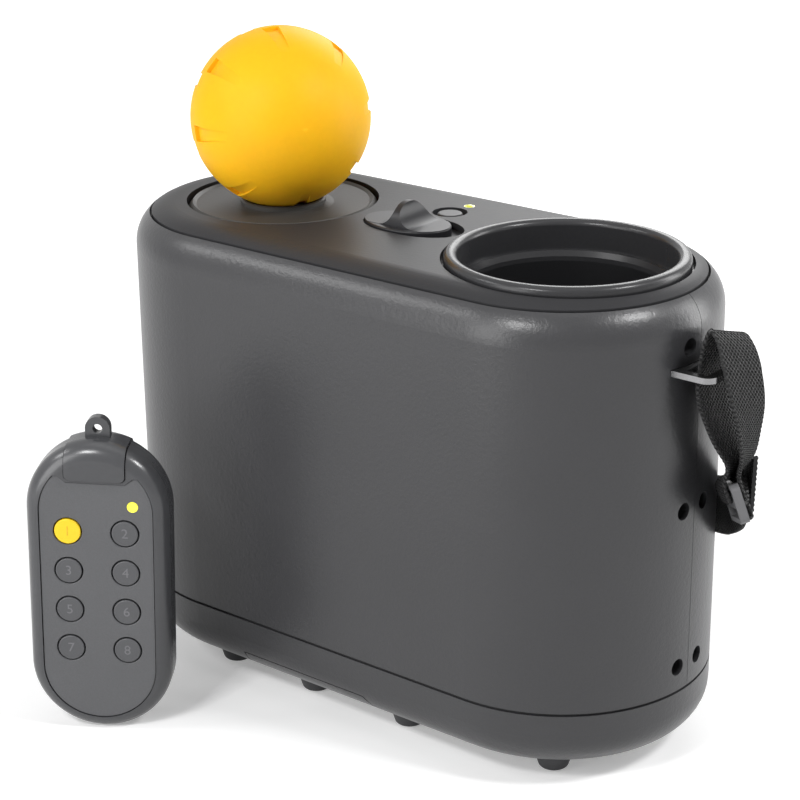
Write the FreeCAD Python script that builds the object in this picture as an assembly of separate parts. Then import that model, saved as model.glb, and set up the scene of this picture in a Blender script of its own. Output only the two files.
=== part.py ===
import FreeCAD, Part
import math
import os

# Automatic ball launcher for dogs: a tall round-ended casing with a sprung launch tube at one end
# and a ball rest at the other, its carry strap, its ball and its remote control.
# Millimetres. The origin is on the floor under the middle of the casing. +X points to the launch
# tube's end, -Y to the front and +Z up.

os.makedirs("parts", exist_ok=True)
Vec = FreeCAD.Vector
UP = Vec(0, 0, 1)
DOWN = Vec(0, 0, -1)
RIGHT = Vec(1, 0, 0)
BACK = Vec(0, 1, 0)
FRONT = Vec(0, -1, 0)

# Casing
half_centres = 61.5          # from the middle to the centre of each round end
end_radius = 54.2            # outside radius of the round ends, half the casing's depth
foot_height = 6.5
tub_top = 28.5
tub_round = 14.0             # rounding of the tub's lower edge
tub_wall = 2.8
tub_rim_height = 3.0         # how far the tub's inner rim reaches up inside the shells
tub_rim_gap = 0.3
tub_rim_wall = 1.8
seam_gap = 1.0               # between the tub and the shells
casing_top = 171.6
shoulder_radius = 14.5       # rounding of the shells' upper edge
shell_wall = 2.8
parting_gap = 0.2            # between the front and rear shells
cover_inset = 5.2            # from the casing's outside to the top cover's groove
cover_groove = 0.8
cover_skin = 3.0
cover_depth = 6.4
ledge_width = 4.6
ledge_thickness = 2.4

# Feet
foot_tip_radius = 5.0
foot_root_radius = 7.0
foot_inset = 18.4            # from the casing's outside to the feet's centres
front_foot_places = [-59.3, 23.5, 81.6]
rear_foot_places = [-59.3, -20.0, 23.5, 81.6]
foot_stem_radius = 3.0
foot_stem_length = 2.0
door_foot_stem = 1.5
foot_round = 1.6

# Battery door and pack
door_left = -39.7
door_right = 18.0
door_reach = 46.0            # from the front wall to the door's rear edge
door_height = 8.0            # how far the door climbs the rounded edge above the tub's bottom
door_gap = 0.4
door_foot_place = -20.0
door_skin = 2.4
pack_length = 50.0
pack_depth = 34.0
pack_height = 16.0
pack_gap = 0.8
pack_lift = 0.9              # of the pack above the door's skin
bay_wall = 1.6
bay_roof_gap = 1.3
pack_inset = 10.0            # from the casing's front to the pack
contact_spread = 9.0
contact_width = 5.0
contact_length = 12.0
grip_count = 3               # finger grooves across the door
grip_pitch = 2.4
grip_half_length = 8.0
grip_width = 1.0
grip_depth = 0.4

# Launch tube, at the right
tube_place = 63.4            # centre of the launch tube, along X
tube_bore = 34.5
tube_wall = 2.5
tube_low = 24.0
tube_drop = 11.6             # from the casing's top down to the tube's mouth
tube_floor_thickness = 3.0
collar_radius = 41.3
collar_mouth_radius = 36.7
collar_rise = 2.5            # how far the collar stands above the top cover
collar_lip_round = 2.1
collar_ledge_depth = 8.0     # from the collar's rim down to the ledge inside
collar_hole_gap = 1.1
collar_flange_width = 1.9
collar_flange_thickness = 2.6
collar_skirt_length = 6.0    # of the collar past the tube's mouth
collar_skirt_wall = 2.6

# Plunger and its spring
plunger_clearance = 0.4
plunger_rest_depth = 33.0    # from the collar's rim to the plunger's cup
plunger_height = 20.0
plunger_floor = 4.0
plunger_wall = 3.0
plunger_dish_radius = 33.5
plunger_stroke = 70.0
groove_height = 6.0
groove_depth = 2.4
groove_above_skirt = 5.0
spring_wire = 2.2
spring_turns = 9
spring_seat_gap = 1.6        # between the spring's outside and the plunger's skirt

# Latch
latch_arm = 26.0             # from the latch's pin down to its nose
latch_angle = 8.0            # turn from open to holding, degrees
latch_width = 5.0
latch_pin_radius = 1.5
pin_clearance = 0.05
nose_thickness = 2.6
nose_recess = 1.1            # how far the open nose stays outside the bore
latch_pin_offset = 8.0       # from the open nose's tip back to the pin
gear_module = 1.25
pinion_teeth = 8
sector_teeth = 32            # of the full circle that the toothed sector is cut from
sector_shown = 7
gear_backlash = 0.15
ear_gap = 0.4
ear_thickness = 3.0
ear_reach = 4.5              # of the ears past the latch's pin
ear_root = 10.0              # half the ears' height where they meet the tube

# Release servo
servo_length = 22.6
servo_width = 12.0
servo_depth = 24.0
servo_flange = 32.0
servo_flange_thickness = 2.4
servo_shaft_radius = 2.0
servo_shaft_inset = 6.0      # from the body's right end to the shaft
mount_plate = 2.0
mount_half_height = 12.0
mount_arm = 5.0
servo_collar_radius = 5.4

# Ball rest and ball, at the left
rest_place = -61.9
rest_radius = 34.4
rest_hole_gap = 0.7
rest_bevel = 1.6
rest_recess = 0.6            # the disc's face below the top cover
rest_thickness = 5.4
rest_stem_radius = 12.0
cup_inner_radius = 14.0
cup_outer_radius = 15.6
cup_rise = 0.5               # the cup's ring above the top cover
ball_radius = 32.5
ball_gap = 0.3
notch_width = 6.2            # at its deep end
notch_tip_width = 3.0
notch_depth = 1.5
notch_start = 50.0           # from the pole to a notch's shallow tip, degrees
notch_end = 86.5             # from the pole to its deep end
notches_per_ring = 8
notch_turn = 5.5             # of the first notch round the pole
notch_pole_azimuth = 56.8    # the notches ring a pole that faces this way, degrees from the front
notch_pole_height = 5.3      # and this far above level

# Controls on the top cover
slider_place = -4.0
slider_half_length = 17.2
slider_half_width = 11.4
slider_rise = 0.9
slider_travel = 5.0
slider_gap = 0.5
slider_recess = 2.6          # depth of the track in the cover
fin_height = 8.5
fin_half_width = 8.4
fin_scoops = ((-1, 5.4), (1, 7.0))  # each flank's side and the radius of its scoop
fin_half_top = 1.1
slider_stem_half = 3.0
slider_stem_length = 8.0
power_x = -1.2
power_y = 20.7
power_radius = 4.7
power_well_radius = 6.3
power_gap = 0.3
power_travel = 1.2
lens_x = -0.4
lens_y = 31.2
lens_radius = 2.0

# Boards and switches
board_thickness = 1.6
board_length = 44.0
board_height = 70.0
board_place = -58.0
board_low = 62.0
control_board_drop = 13.4    # from the cover's lower edge to the small board
power_switch_half = 3.5
antenna_drop = 18.6          # from the casing's top down to the antenna's tip

# Screws
screw_head_radius = 2.7
screw_shank_radius = 1.5
screw_recess_radius = 3.0
screw_boss_radius = 4.8
screw_spread = 6.1           # of the shell screws from the parting plane
screw_lowest = 38.4
screw_drop = 18.8            # from the casing's top down to the highest shell screws
screws_per_row = 3
screw_sink = 4.5             # from the casing's end to the screw heads
post_half_width = 12.0
post_thickness = 4.6
screw_floor = 1.4            # of the shell under a screw's head
shell_screw_length = 7.6
screw_head_height = 2.0
base_screw_xs = (-50.0, 20.0)
base_screw_y = 25.0
base_screw_length = 20.0
base_boss_radius = 4.4
base_boss_height = 16.0
base_web = 3.0
base_screw_sink = 10.0       # from the tub's bottom to the screw heads

# Strap and its loops
strap_width = 21.0
strap_thickness = 1.7
loop_thickness = 2.0
loop_reach = 12.9            # how far the loop stands out of the casing's end
loop_arm = 3.0
loop_bar = 3.2
loop_slot_gap = 1.25
loop_slot_width = 7.6
loop_corner = 4.0
loop_drop = 25.6             # from the casing's top down to the loops
loop_left_turn = -19.0       # the left loop sits this far round behind the parting plane, degrees
loop_slit_gap = 0.15
left_tongue_depth = 6.6      # how far the left loop reaches in from the casing's outside
left_block_half = 14.0
left_block_rise = 4.0        # how far the left loop's block reaches above and below it
strap_stand_off = 3.4        # from the casing to the middle of the strap behind it
adjuster_border = 2.8
adjuster_length = 13.2
adjuster_thickness = 3.0
adjuster_slot = (1.4, 4.9)   # each of its two slots, from and to the middle, along the strap
adjuster_drop = 49.9         # from the loop down to the adjuster's middle
adjuster_out = 3.6           # from the loop's slot outwards
adjuster_back = 10.0         # behind the parting plane
layer_gap = 0.15             # between the strap and what it lies on
strap_sag = 7.0              # of the strap along the casing's back

# Remote control
remote_x = -64.5
remote_y = -99.3
remote_turn = 34.0           # its face turns this far towards the launch tube, degrees
remote_lean = 1.7            # its round bottom lets it lean this far to its own right, degrees
remote_radius = 25.1
remote_height = 109.0
remote_depth = 18.0
remote_edge_round = 6.0
remote_wall = 2.0
remote_foot_cut = 0.5        # flat at the bottom that it stands on
panel_inset = 5.2
panel_recess = 0.5
panel_thickness = 1.4
panel_top = 95.1
panel_ear_rise = 2.2         # of the panel's upper corners above its top edge
key_radius = 4.6
key_gap = 0.45
hole_round = 0.35            # rounding of the face panel's holes
key_pitch_x = 20.0
key_pitch_z = 14.9
key_lowest = 32.1
key_rows = 4
key_rise = 0.3
key_travel = 0.6
key_depth = 4.6
cap_half_width = 10.8
cap_low = 96.0
cap_gap = 0.3
cap_rise = 0.7
lanyard_ring_radius = 4.3
lanyard_hole_radius = 1.7
lanyard_thickness = 3.4
lanyard_rise = 3.6
light_x = 12.9
light_z = 87.0
light_radius = 1.9
remote_screw_sink = 1.2
remote_screw_length = 11.0
remote_post_radius = 3.0
remote_screw_xz = [(-12.5, 17.0), (12.5, 17.0), (-15.5, 92.5), (15.5, 92.5)]
remote_split = 1.0           # from the middle of its depth back to the seam between its halves
remote_seam = 0.15
through = 300.0              # longer than the launcher, for cuts that go right through

# Places worked out from the sizes above
tub_bottom = foot_height
shell_low = tub_top + seam_gap
collar_top = casing_top + collar_rise
tube_high = casing_top - tube_drop
collar_skirt_low = tube_high - collar_skirt_length
tube_outer = tube_bore + tube_wall
wall_end = half_centres + end_radius
loop_height = casing_top - loop_drop
slot_middle = wall_end + loop_reach - loop_bar - loop_slot_width / 2
screw_spacing = (casing_top - screw_drop - screw_lowest) / (screws_per_row - 1)
plunger_radius = tube_bore - plunger_clearance
plunger_top = collar_top - plunger_rest_depth
skirt_low = plunger_top - plunger_height
held_skirt_low = skirt_low - plunger_stroke
held_nose_z = held_skirt_low + groove_above_skirt + groove_height / 2
latch_swing = math.radians(latch_angle)
latch_rise = latch_pin_offset * math.sin(latch_swing) + latch_arm * (1 - math.cos(latch_swing))
latch_nose_z = held_nose_z - latch_rise
bore_left = tube_place - tube_bore
nose_open_x = bore_left - nose_recess
latch_pin_x = nose_open_x - latch_pin_offset
latch_pin_z = latch_nose_z + latch_arm
sector_radius = gear_module * sector_teeth / 2
pinion_radius = gear_module * pinion_teeth / 2
pinion_x = latch_pin_x - sector_radius - pinion_radius - gear_backlash
spring_outer = plunger_radius - plunger_wall - spring_seat_gap
spring_mean = spring_outer - spring_wire / 2
spring_low = tube_low + tube_floor_thickness
spring_high = plunger_top - plunger_floor - 1.0
board_y = end_radius - shell_wall - 8.0
control_board_top = casing_top - cover_depth - control_board_drop
power_foot = casing_top - cover_depth - 1.4 - power_travel
post_face = wall_end - screw_sink - screw_head_height - screw_floor


def box(x0, x1, y0, y1, z0, z1):
    return Part.makeBox(x1 - x0, y1 - y0, z1 - z0, Vec(x0, y0, z0))


def rod(place, radius, length, direction=UP):
    return Part.makeCylinder(radius, length, place, direction)


def fuse(first, *others):
    return first.fuse(list(others)).removeSplitter()


def racetrack_face(centres, radius, z, middle=0.0):
    """Flat face with straight front and rear edges and half-round ends."""
    left, right = middle - centres, middle + centres
    front = Part.LineSegment(Vec(left, -radius, z), Vec(right, -radius, z)).toShape()
    nose = Part.Arc(Vec(right, -radius, z), Vec(right + radius, 0, z), Vec(right, radius, z)).toShape()
    rear = Part.LineSegment(Vec(right, radius, z), Vec(left, radius, z)).toShape()
    tail = Part.Arc(Vec(left, radius, z), Vec(left - radius, 0, z), Vec(left, -radius, z)).toShape()
    return Part.Face(Part.Wire([front, nose, rear, tail]))


def racetrack(inset, low, high):
    """Upright block with the casing's plan, drawn in by inset."""
    return racetrack_face(half_centres, end_radius - inset, low).extrude(Vec(0, 0, high - low))


def round_rim(solid, level, radius):
    """Rounds every edge of the solid that lies flat at one level."""
    rim = [e for e in solid.Edges
           if abs(e.BoundBox.ZMin - level) < 1e-4 and abs(e.BoundBox.ZMax - level) < 1e-4]
    return solid.makeFillet(radius, rim)


def turned(points, place, turn=360):
    """Solid of revolution about an upright axis, from (radius, height) points."""
    corners = [Vec(r, 0, z) for r, z in points]
    face = Part.Face(Part.makePolygon(corners + [corners[0]]))
    solid = face.revolve(Vec(0, 0, 0), UP, turn)
    solid.translate(place)
    return solid


def plate_xz(points, y0, y1):
    """Flat plate in an upright X-Z plane, from (x, z) points."""
    corners = [Vec(x, y0, z) for x, z in points]
    face = Part.Face(Part.makePolygon(corners + [corners[0]]))
    return face.extrude(Vec(0, y1 - y0, 0))


def screw(place, direction, length):
    """Pan-headed screw with a cross recess; its head starts at place and it points along direction."""
    head = rod(place, screw_head_radius, screw_head_height, direction)
    shank = rod(place, screw_shank_radius, length, direction)
    side = direction.cross(BACK if abs(direction.y) < 0.5 else UP)
    recess = rod(place - direction * 0.1, 0.7, 1.3, direction)
    wing = rod(place + side * 1.3 + direction * 0.6, 0.35, 2.6, side * -1)
    return head.fuse(shank).cut([recess, wing]).removeSplitter()


def save(name, shape):
    shape.exportStep("parts/" + name + ".step")
    solids = len(shape.Solids)
    state = "valid" if shape.isValid() else "BROKEN"
    print(f"{name:22s} {solids:3d} solids {shape.Volume / 1000:9.2f} cm3 {state}")


# Casing shells

def casing_outside():
    return round_rim(racetrack(0, shell_low, casing_top), casing_top, shoulder_radius)


def casing_inside():
    inner_top = casing_top - shell_wall
    hollow = racetrack(shell_wall, shell_low - 1, inner_top)
    return round_rim(hollow, inner_top, shoulder_radius - shell_wall)


def base_screw_places():
    return [(x, y) for x in base_screw_xs for y in (-base_screw_y, base_screw_y)]


def screw_heights():
    return [screw_lowest + screw_spacing * i for i in range(screws_per_row)]


def end_screw_places():
    """Where the shell screws' heads sit: (place, direction) for both ends."""
    places = []
    for side in (1, -1):
        for z in screw_heights():
            for y in (-screw_spread, screw_spread):
                places.append((Vec(side * (wall_end - screw_sink), y, z), Vec(-side, 0, 0)))
    return places


def strap_loop(tongue_end):
    """Flat steel loop for the right end, with its tongue reaching in to tongue_end."""
    half = strap_width / 2 + loop_slot_gap + loop_arm
    outer = wall_end + loop_reach
    low = loop_height - loop_thickness / 2
    plate = box(tongue_end, outer, -half, half, low, low + loop_thickness)
    corners = [e for e in plate.Edges
               if abs(e.BoundBox.XMin - outer) < 1e-4 and e.BoundBox.YLength < 1e-4]
    plate = plate.makeFillet(loop_corner, corners)
    slot_half = strap_width / 2 + loop_slot_gap
    slot_out = outer - loop_bar
    slot = box(slot_out - loop_slot_width, slot_out, -slot_half, slot_half, low - 1, low + 4)
    tongue_half = post_half_width - 3
    inner = wall_end - shell_wall - 3.2
    side_cuts = [box(tongue_end - 1, inner, y0, y1, low - 1, low + 4)
                 for y0, y1 in ((-half - 1, -tongue_half), (tongue_half, half + 1))]
    return plate.cut([slot] + side_cuts).removeSplitter()


def loop_opening(inner_end):
    """The slit in the casing's end that the steel loop passes through, from inner_end outwards."""
    half = strap_width / 2 + loop_slot_gap + loop_arm + loop_slit_gap
    low = loop_height - loop_thickness / 2 - loop_slit_gap
    return box(inner_end, wall_end + 5, -half, half, low, low + loop_thickness + 2 * loop_slit_gap)


def to_left_loop(shape):
    """Moves a right-end shape round to the left loop's place on the rear shell."""
    moved = shape.copy()
    moved.translate(Vec(-half_centres, 0, 0))
    moved.rotate(Vec(0, 0, 0), UP, 180 + loop_left_turn)
    moved.translate(Vec(-half_centres, 0, 0))
    return moved


def left_loop_block(grow):
    """The thick place inside the rear shell that the left loop's tongue sits in."""
    half = left_block_half + grow
    rise = left_block_rise + grow
    block = box(wall_end - left_tongue_depth - shell_wall / 2 - grow, wall_end - shell_wall / 2,
                -half, half, loop_height - rise, loop_height + rise)
    return to_left_loop(block)


def shells():
    outside = casing_outside()
    inside = casing_inside()
    skin = outside.cut(inside)
    opening = racetrack(cover_inset, casing_top - cover_depth - 8, casing_top + 1)
    skin = skin.cut(opening)
    ledge_top = casing_top - cover_depth - 0.2
    ledge = racetrack(cover_inset - 2.2, ledge_top - ledge_thickness, ledge_top)
    ledge = ledge.cut(racetrack(cover_inset + ledge_width, ledge_top - 5, ledge_top + 1))
    skin = skin.fuse(ledge.common(outside))
    bosses = []
    recesses = []
    boss_length = screw_sink + screw_head_height + screw_floor
    for place, direction in end_screw_places():
        boss = rod(place - direction * screw_sink, screw_boss_radius, boss_length, direction)
        bosses.append(boss.common(outside))
        mouth = place - direction * 12
        recesses.append(rod(mouth, screw_recess_radius, 12 + screw_head_height, direction))
        recesses.append(rod(place - direction, screw_shank_radius + 0.2, 12, direction))
    skin = skin.fuse(bosses + [left_loop_block(0).common(outside)])
    left_slit = to_left_loop(loop_opening(wall_end - left_tongue_depth))
    skin = skin.cut(recesses + [loop_opening(post_face - post_thickness), left_slit])
    for x, y in base_screw_places():
        boss = rod(Vec(x, y, shell_low), base_boss_radius, base_boss_height)
        bridge_y = math.copysign(end_radius - shell_wall / 2, y)
        web_low = shell_low + tub_rim_height + tub_rim_gap
        web = box(x - base_web / 2, x + base_web / 2, min(y, bridge_y), max(y, bridge_y),
                  web_low, shell_low + base_boss_height)
        skin = skin.fuse([boss, web.common(outside)])
        skin = skin.cut(rod(Vec(x, y, shell_low - 1), screw_shank_radius, base_screw_length))
    reach = wall_end + 20
    half_gap = parting_gap / 2
    front = skin.common(box(-reach, reach, -reach, -half_gap, 0, through))
    rear = skin.common(box(-reach, reach, half_gap, reach, 0, through))
    return front, rear


# Tub, its seal, feet and battery door

def foot(x, y, stem_length):
    """Tapered rubber foot with a stem that plugs into the tub or the door."""
    cone = Part.makeCone(foot_tip_radius, foot_root_radius, foot_height, Vec(x, y, 0), UP)
    stem = rod(Vec(x, y, foot_height), foot_stem_radius, stem_length)
    return fuse(round_rim(cone, 0, foot_round), stem)


def inset_y(x, inset):
    """How far from the middle line a point at x lies, inset from the casing's outside."""
    radius = end_radius - inset
    past = max(0.0, abs(x) - half_centres)
    return math.sqrt(radius * radius - past * past)


def foot_places():
    front = [(x, -inset_y(x, foot_inset)) for x in front_foot_places]
    rear = [(x, inset_y(x, foot_inset)) for x in rear_foot_places]
    return front + rear


def door_envelope(clearance):
    """The block of space that the battery door takes out of the tub."""
    left, right = door_left - clearance, door_right + clearance
    front = -end_radius - 5
    rear = -end_radius + door_reach + clearance
    top = tub_bottom + door_height + clearance
    points = [(left, tub_bottom - 5), (right + 3, tub_bottom - 5), (right + 1.2, tub_bottom + 3),
              (right - 2.2, top), (left, top)]
    wedge = plate_xz(points, front, rear)
    inner = box(door_left + 2 + clearance, door_right - 4.5 - clearance, front + 14, rear,
                tub_bottom + 3 + clearance, top + 1)
    return wedge.cut(inner)


def tub_block(inset, low):
    return round_rim(racetrack(inset, low, tub_top), low, tub_round - inset)


def base_tub():
    outside = tub_block(0, tub_bottom)
    mouth = racetrack(tub_wall, tub_top - 1, tub_top + 1)
    tub = outside.cut(tub_block(tub_wall, tub_bottom + tub_wall).fuse(mouth))
    rim_high = shell_low + tub_rim_height
    rim = racetrack(tub_wall + tub_rim_gap, tub_top - 6, rim_high)
    rim = rim.cut(racetrack(tub_wall + tub_rim_gap + tub_rim_wall, tub_top - 7, rim_high + 1))
    root = racetrack(tub_wall - 0.8, tub_top - 6, tub_top - 3)
    root = root.cut(racetrack(tub_wall + tub_rim_gap + tub_rim_wall, tub_top - 7, tub_top))
    tub = tub.fuse([rim, root])
    for x, y in base_screw_places():
        post = rod(Vec(x, y, tub_bottom + 1), base_boss_radius, tub_top - tub_bottom - 1.0)
        tub = tub.fuse(post.common(outside))
        well_depth = base_screw_sink + screw_head_height + 1
        well = rod(Vec(x, y, tub_bottom - 1), screw_recess_radius, well_depth)
        hole = rod(Vec(x, y, tub_bottom), screw_shank_radius + 0.3, 30)
        tub = tub.cut([well, hole])
    seat_outer = tube_outer + 3.2
    seat = rod(Vec(tube_place, 0, tub_bottom + 1), seat_outer, tube_low - tub_bottom + 3)
    seat = seat.cut(rod(Vec(tube_place, 0, tube_low), tube_outer + 0.1, 10))
    seat = seat.cut(rod(Vec(tube_place, 0, tub_bottom + tub_wall), tube_bore - 6, 30))
    tub = tub.fuse(seat.common(outside))
    walls = battery_walls().common(outside)
    tub = tub.fuse(walls)
    tub = tub.cut([door_envelope(door_gap), battery_room()])
    for x, y in foot_places():
        tub = tub.cut(rod(Vec(x, y, tub_bottom - 0.1), foot_stem_radius, foot_stem_length + 0.1))
    return tub.removeSplitter()


def pack_middle():
    return ((door_left + door_right) / 2 - 1.5, -end_radius + pack_inset + pack_depth / 2)


def battery_room():
    x, y = pack_middle()
    half_l, half_d = pack_length / 2 + pack_gap, pack_depth / 2 + pack_gap
    low = tub_bottom - 1
    high = tub_bottom + door_skin + pack_lift + pack_height + bay_roof_gap
    return box(x - half_l, x + half_l, y - half_d, y + half_d, low, high)


def battery_walls():
    """The bay that holds the battery pack, open at the bottom for the door."""
    x, y = pack_middle()
    half_l = pack_length / 2 + pack_gap + bay_wall
    high = tub_bottom + door_skin + pack_lift + pack_height + bay_roof_gap
    rear = -end_radius + door_reach + bay_wall + 2
    return box(x - half_l, x + half_l, -end_radius, rear, tub_bottom, high + bay_wall)


def battery_pack():
    x, y = pack_middle()
    low = tub_bottom + door_skin + pack_lift
    half_l, half_d = pack_length / 2, pack_depth / 2
    pack = box(x - half_l, x + half_l, y - half_d, y + half_d, low, low + pack_height)
    upright = [e for e in pack.Edges if e.BoundBox.ZLength > pack_height - 0.1]
    return pack.makeFillet(3.0, upright)


def battery_contacts():
    """Two spring-metal strips between the pack and the bay's roof."""
    x, y = pack_middle()
    low = tub_bottom + door_skin + pack_lift + pack_height
    strips = []
    for side in (-1, 1):
        middle = x + side * contact_spread
        strips.append(box(middle - contact_width / 2, middle + contact_width / 2,
                          y - contact_length / 2, y + contact_length / 2, low + 0.3, low + 1.2))
    return Part.makeCompound(strips)


def battery_door():
    skin = tub_block(0, tub_bottom).cut(tub_block(door_skin, tub_bottom + door_skin))
    door = skin.common(door_envelope(0))
    x = (door_left + door_right) / 2
    y = -inset_y(door_foot_place, foot_inset)
    door = door.cut(rod(Vec(door_foot_place, y, tub_bottom - 0.1), foot_stem_radius, door_foot_stem + 0.1))
    grips = []
    for i in range(grip_count):
        grip_y = -end_radius + tub_round - 1 + grip_pitch * i
        grips.append(box(x - grip_half_length, x + grip_half_length, grip_y, grip_y + grip_width,
                         tub_bottom - 1, tub_bottom + grip_depth))
    return door.cut(grips).removeSplitter()


def base_seal():
    ring = racetrack(0.9, tub_top, shell_low)
    return ring.cut(racetrack(tub_wall, tub_top - 1, shell_low + 1))


# Launch tube, collar, plunger and spring

def launch_collar():
    flange_top = casing_top - cover_skin
    rim = turned([(collar_mouth_radius, casing_top - collar_ledge_depth), (collar_mouth_radius, collar_top),
                  (collar_radius, collar_top), (collar_radius, flange_top - collar_flange_thickness),
                  (tube_outer + collar_skirt_wall, flange_top - collar_flange_thickness - 4.5),
                  (tube_outer + collar_skirt_wall, collar_skirt_low),
                  (tube_outer + 0.1, collar_skirt_low), (tube_outer + 0.1, tube_high),
                  (tube_bore, tube_high), (tube_bore, casing_top - collar_ledge_depth - 2.0),
                  (tube_bore + 0.7, casing_top - collar_ledge_depth)], Vec(tube_place, 0, 0))
    lip = [e for e in rim.Edges if abs(e.BoundBox.ZMin - collar_top) < 1e-4 and e.Length > 10]
    rim = rim.makeFillet(collar_lip_round, lip)
    flange_low = flange_top - collar_flange_thickness
    flange = rod(Vec(tube_place, 0, flange_low), collar_radius + collar_flange_width, collar_flange_thickness)
    flange = flange.cut(rod(Vec(tube_place, 0, flange_top - 10), collar_radius - 1, 20))
    return fuse(rim, flange)


def nose_window():
    """The slot in the tube's left wall for the latch's nose."""
    half = latch_width / 2 + 0.8
    return box(tube_place - tube_outer - 3, tube_place - tube_bore + 6, -half, half,
               latch_nose_z - 4.5, held_nose_z + 4.5)


def launch_tube():
    barrel = rod(Vec(tube_place, 0, tube_low), tube_outer, tube_high - tube_low)
    ears = []
    for side in (-1, 1):
        near = side * (latch_width / 2 + ear_gap)
        far = side * (latch_width / 2 + ear_gap + ear_thickness)
        wall_x = bore_left + 1
        ear = plate_xz([(latch_pin_x - ear_reach, latch_pin_z - ear_reach),
                        (latch_pin_x - ear_reach, latch_pin_z + ear_reach),
                        (wall_x, latch_pin_z + ear_root), (wall_x, latch_pin_z - ear_root)],
                       min(near, far), max(near, far))
        ears.append(ear)
    barrel = barrel.fuse(ears)
    barrel = barrel.cut(rod(Vec(tube_place, 0, tube_low - 1), tube_bore, tube_high))
    pin_hole = rod(Vec(latch_pin_x, -30, latch_pin_z), latch_pin_radius, 60, BACK)
    return barrel.cut([pin_hole, nose_window()]).removeSplitter()


def tube_floor():
    disc = rod(Vec(tube_place, 0, tube_low), tube_bore, tube_floor_thickness)
    boss = rod(Vec(tube_place, 0, tube_low), spring_mean - spring_wire / 2 - 1.0, tube_floor_thickness + 3)
    hole = rod(Vec(tube_place, 0, tube_low - 1), 9.0, 12)
    return fuse(disc, boss).cut(hole)


def plunger():
    outer = rod(Vec(tube_place, 0, skirt_low), plunger_radius, plunger_height)
    outer = round_rim(outer, plunger_top, 0.8)
    inside_top = plunger_top - plunger_floor - 1.0
    hollow = rod(Vec(tube_place, 0, skirt_low - 1), plunger_radius - plunger_wall, inside_top - skirt_low + 1)
    dish = Part.makeSphere(plunger_dish_radius, Vec(tube_place, 0, plunger_top + plunger_dish_radius - 3.6))
    groove_low = skirt_low + groove_above_skirt
    groove = rod(Vec(tube_place, 0, groove_low), plunger_radius + 1, groove_height)
    core = rod(Vec(tube_place, 0, groove_low - 1), plunger_radius - groove_depth, groove_height + 2)
    groove = groove.cut(core)
    return outer.cut([hollow, dish, groove]).removeSplitter()


def arc_middle(start, heading, end):
    """Middle point of the arc that leaves start along heading and reaches end."""
    chord = end - start
    along = Vec(chord).normalize()
    aside = heading - along * heading.dot(along)
    if aside.Length < 1e-9:
        return None
    half_turn = math.acos(max(-1.0, min(1.0, Vec(heading).normalize().dot(along))))
    return (start + end) * 0.5 + aside.normalize() * (chord.Length / 2 * math.tan(half_turn / 2))


def biarc(start, start_heading, end, end_heading):
    """Two arcs with one tangent where they meet, between two points with headings."""
    gap = end - start
    both = start_heading + end_heading
    spread = 2 * (1 - start_heading.dot(end_heading))
    reach = gap.dot(both)
    handle = (-reach + math.sqrt(reach * reach + spread * gap.dot(gap))) / spread
    meet = (start + end + (start_heading - end_heading) * handle) * 0.5
    first = Part.Arc(start, arc_middle(start, start_heading, meet), meet).toShape()
    last_middle = arc_middle(end, end_heading * -1, meet)
    second = Part.Arc(meet, last_middle, end).toShape()
    return [first, second]


def launch_spring():
    """Coil spring under the plunger, with one closer turn at each end."""
    quarters = spring_turns * 4
    low, high = spring_low + spring_wire / 2, spring_high - spring_wire / 2
    closed = spring_wire * 1.5
    pitch = (high - low - 2 * closed) / (spring_turns - 2)

    def height(turn):
        if turn < 1:
            return low + closed * turn
        if turn > spring_turns - 1:
            return high - closed * (spring_turns - turn)
        return low + closed + pitch * (turn - 1)

    def spot(turn):
        angle = 2 * math.pi * turn
        return Vec(tube_place + spring_mean * math.cos(angle), spring_mean * math.sin(angle), height(turn))

    def heading(turn):
        angle = 2 * math.pi * turn
        rise = (height(min(spring_turns, turn + 0.02)) - height(max(0, turn - 0.02))) / 0.04
        if turn in (0, spring_turns):
            rise = closed
        run = 2 * math.pi * spring_mean
        return Vec(-math.sin(angle) * run, math.cos(angle) * run, rise).normalize()

    edges = []
    for i in range(quarters):
        edges += biarc(spot(i / 4), heading(i / 4), spot((i + 1) / 4), heading((i + 1) / 4))
    path = Part.Wire(edges)
    section = Part.Wire([Part.Circle(spot(0), heading(0), spring_wire / 2).toShape()])
    print(f"launch spring: {spring_turns} turns, least gap to itself {closed - spring_wire:.2f} mm")
    return path.makePipeShell([section], True, False)


# Latch, its pin, the pinion and the servo

def gear_outline(teeth, radius, first, shown):
    """(x, z) points round a run of straight-sided teeth; angles in degrees, first tooth at first."""
    pitch = 360.0 / teeth
    root, tip = radius - 1.2 * gear_module, radius + 0.8 * gear_module
    points = []
    for i in range(shown):
        middle = first + pitch * i
        for r, share in ((root, -0.30), (tip, -0.12), (tip, 0.12), (root, 0.30)):
            angle = math.radians(middle + pitch * share)
            points.append((r * math.cos(angle), r * math.sin(angle)))
    return points


def latch_lever():
    half = latch_width / 2
    pitch = 360.0 / sector_teeth
    first = 180.0 - pitch * (sector_shown - 1) / 2
    teeth = gear_outline(sector_teeth, sector_radius, first, sector_shown)
    sector = plate_xz([(0, 0)] + teeth, -half, half)
    hub = rod(Vec(0, -half, 0), 4.0, latch_width, BACK)
    nose_x = nose_open_x - latch_pin_x
    nose_z = latch_nose_z - latch_pin_z
    nose_low = nose_z - nose_thickness / 2
    stem = plate_xz([(-3, 0), (3, 0), (1.8, nose_z + 4), (nose_x, nose_z + nose_thickness / 2 + 0.6),
                     (nose_x, nose_low), (-2.6, nose_low), (-3.4, nose_z + 6)], -half, half)
    lever = fuse(sector, hub, stem)
    lever = lever.cut(rod(Vec(0, -half - 1, 0), latch_pin_radius + pin_clearance, latch_width + 2, BACK))
    lever.translate(Vec(latch_pin_x, 0, latch_pin_z))
    return lever


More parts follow.
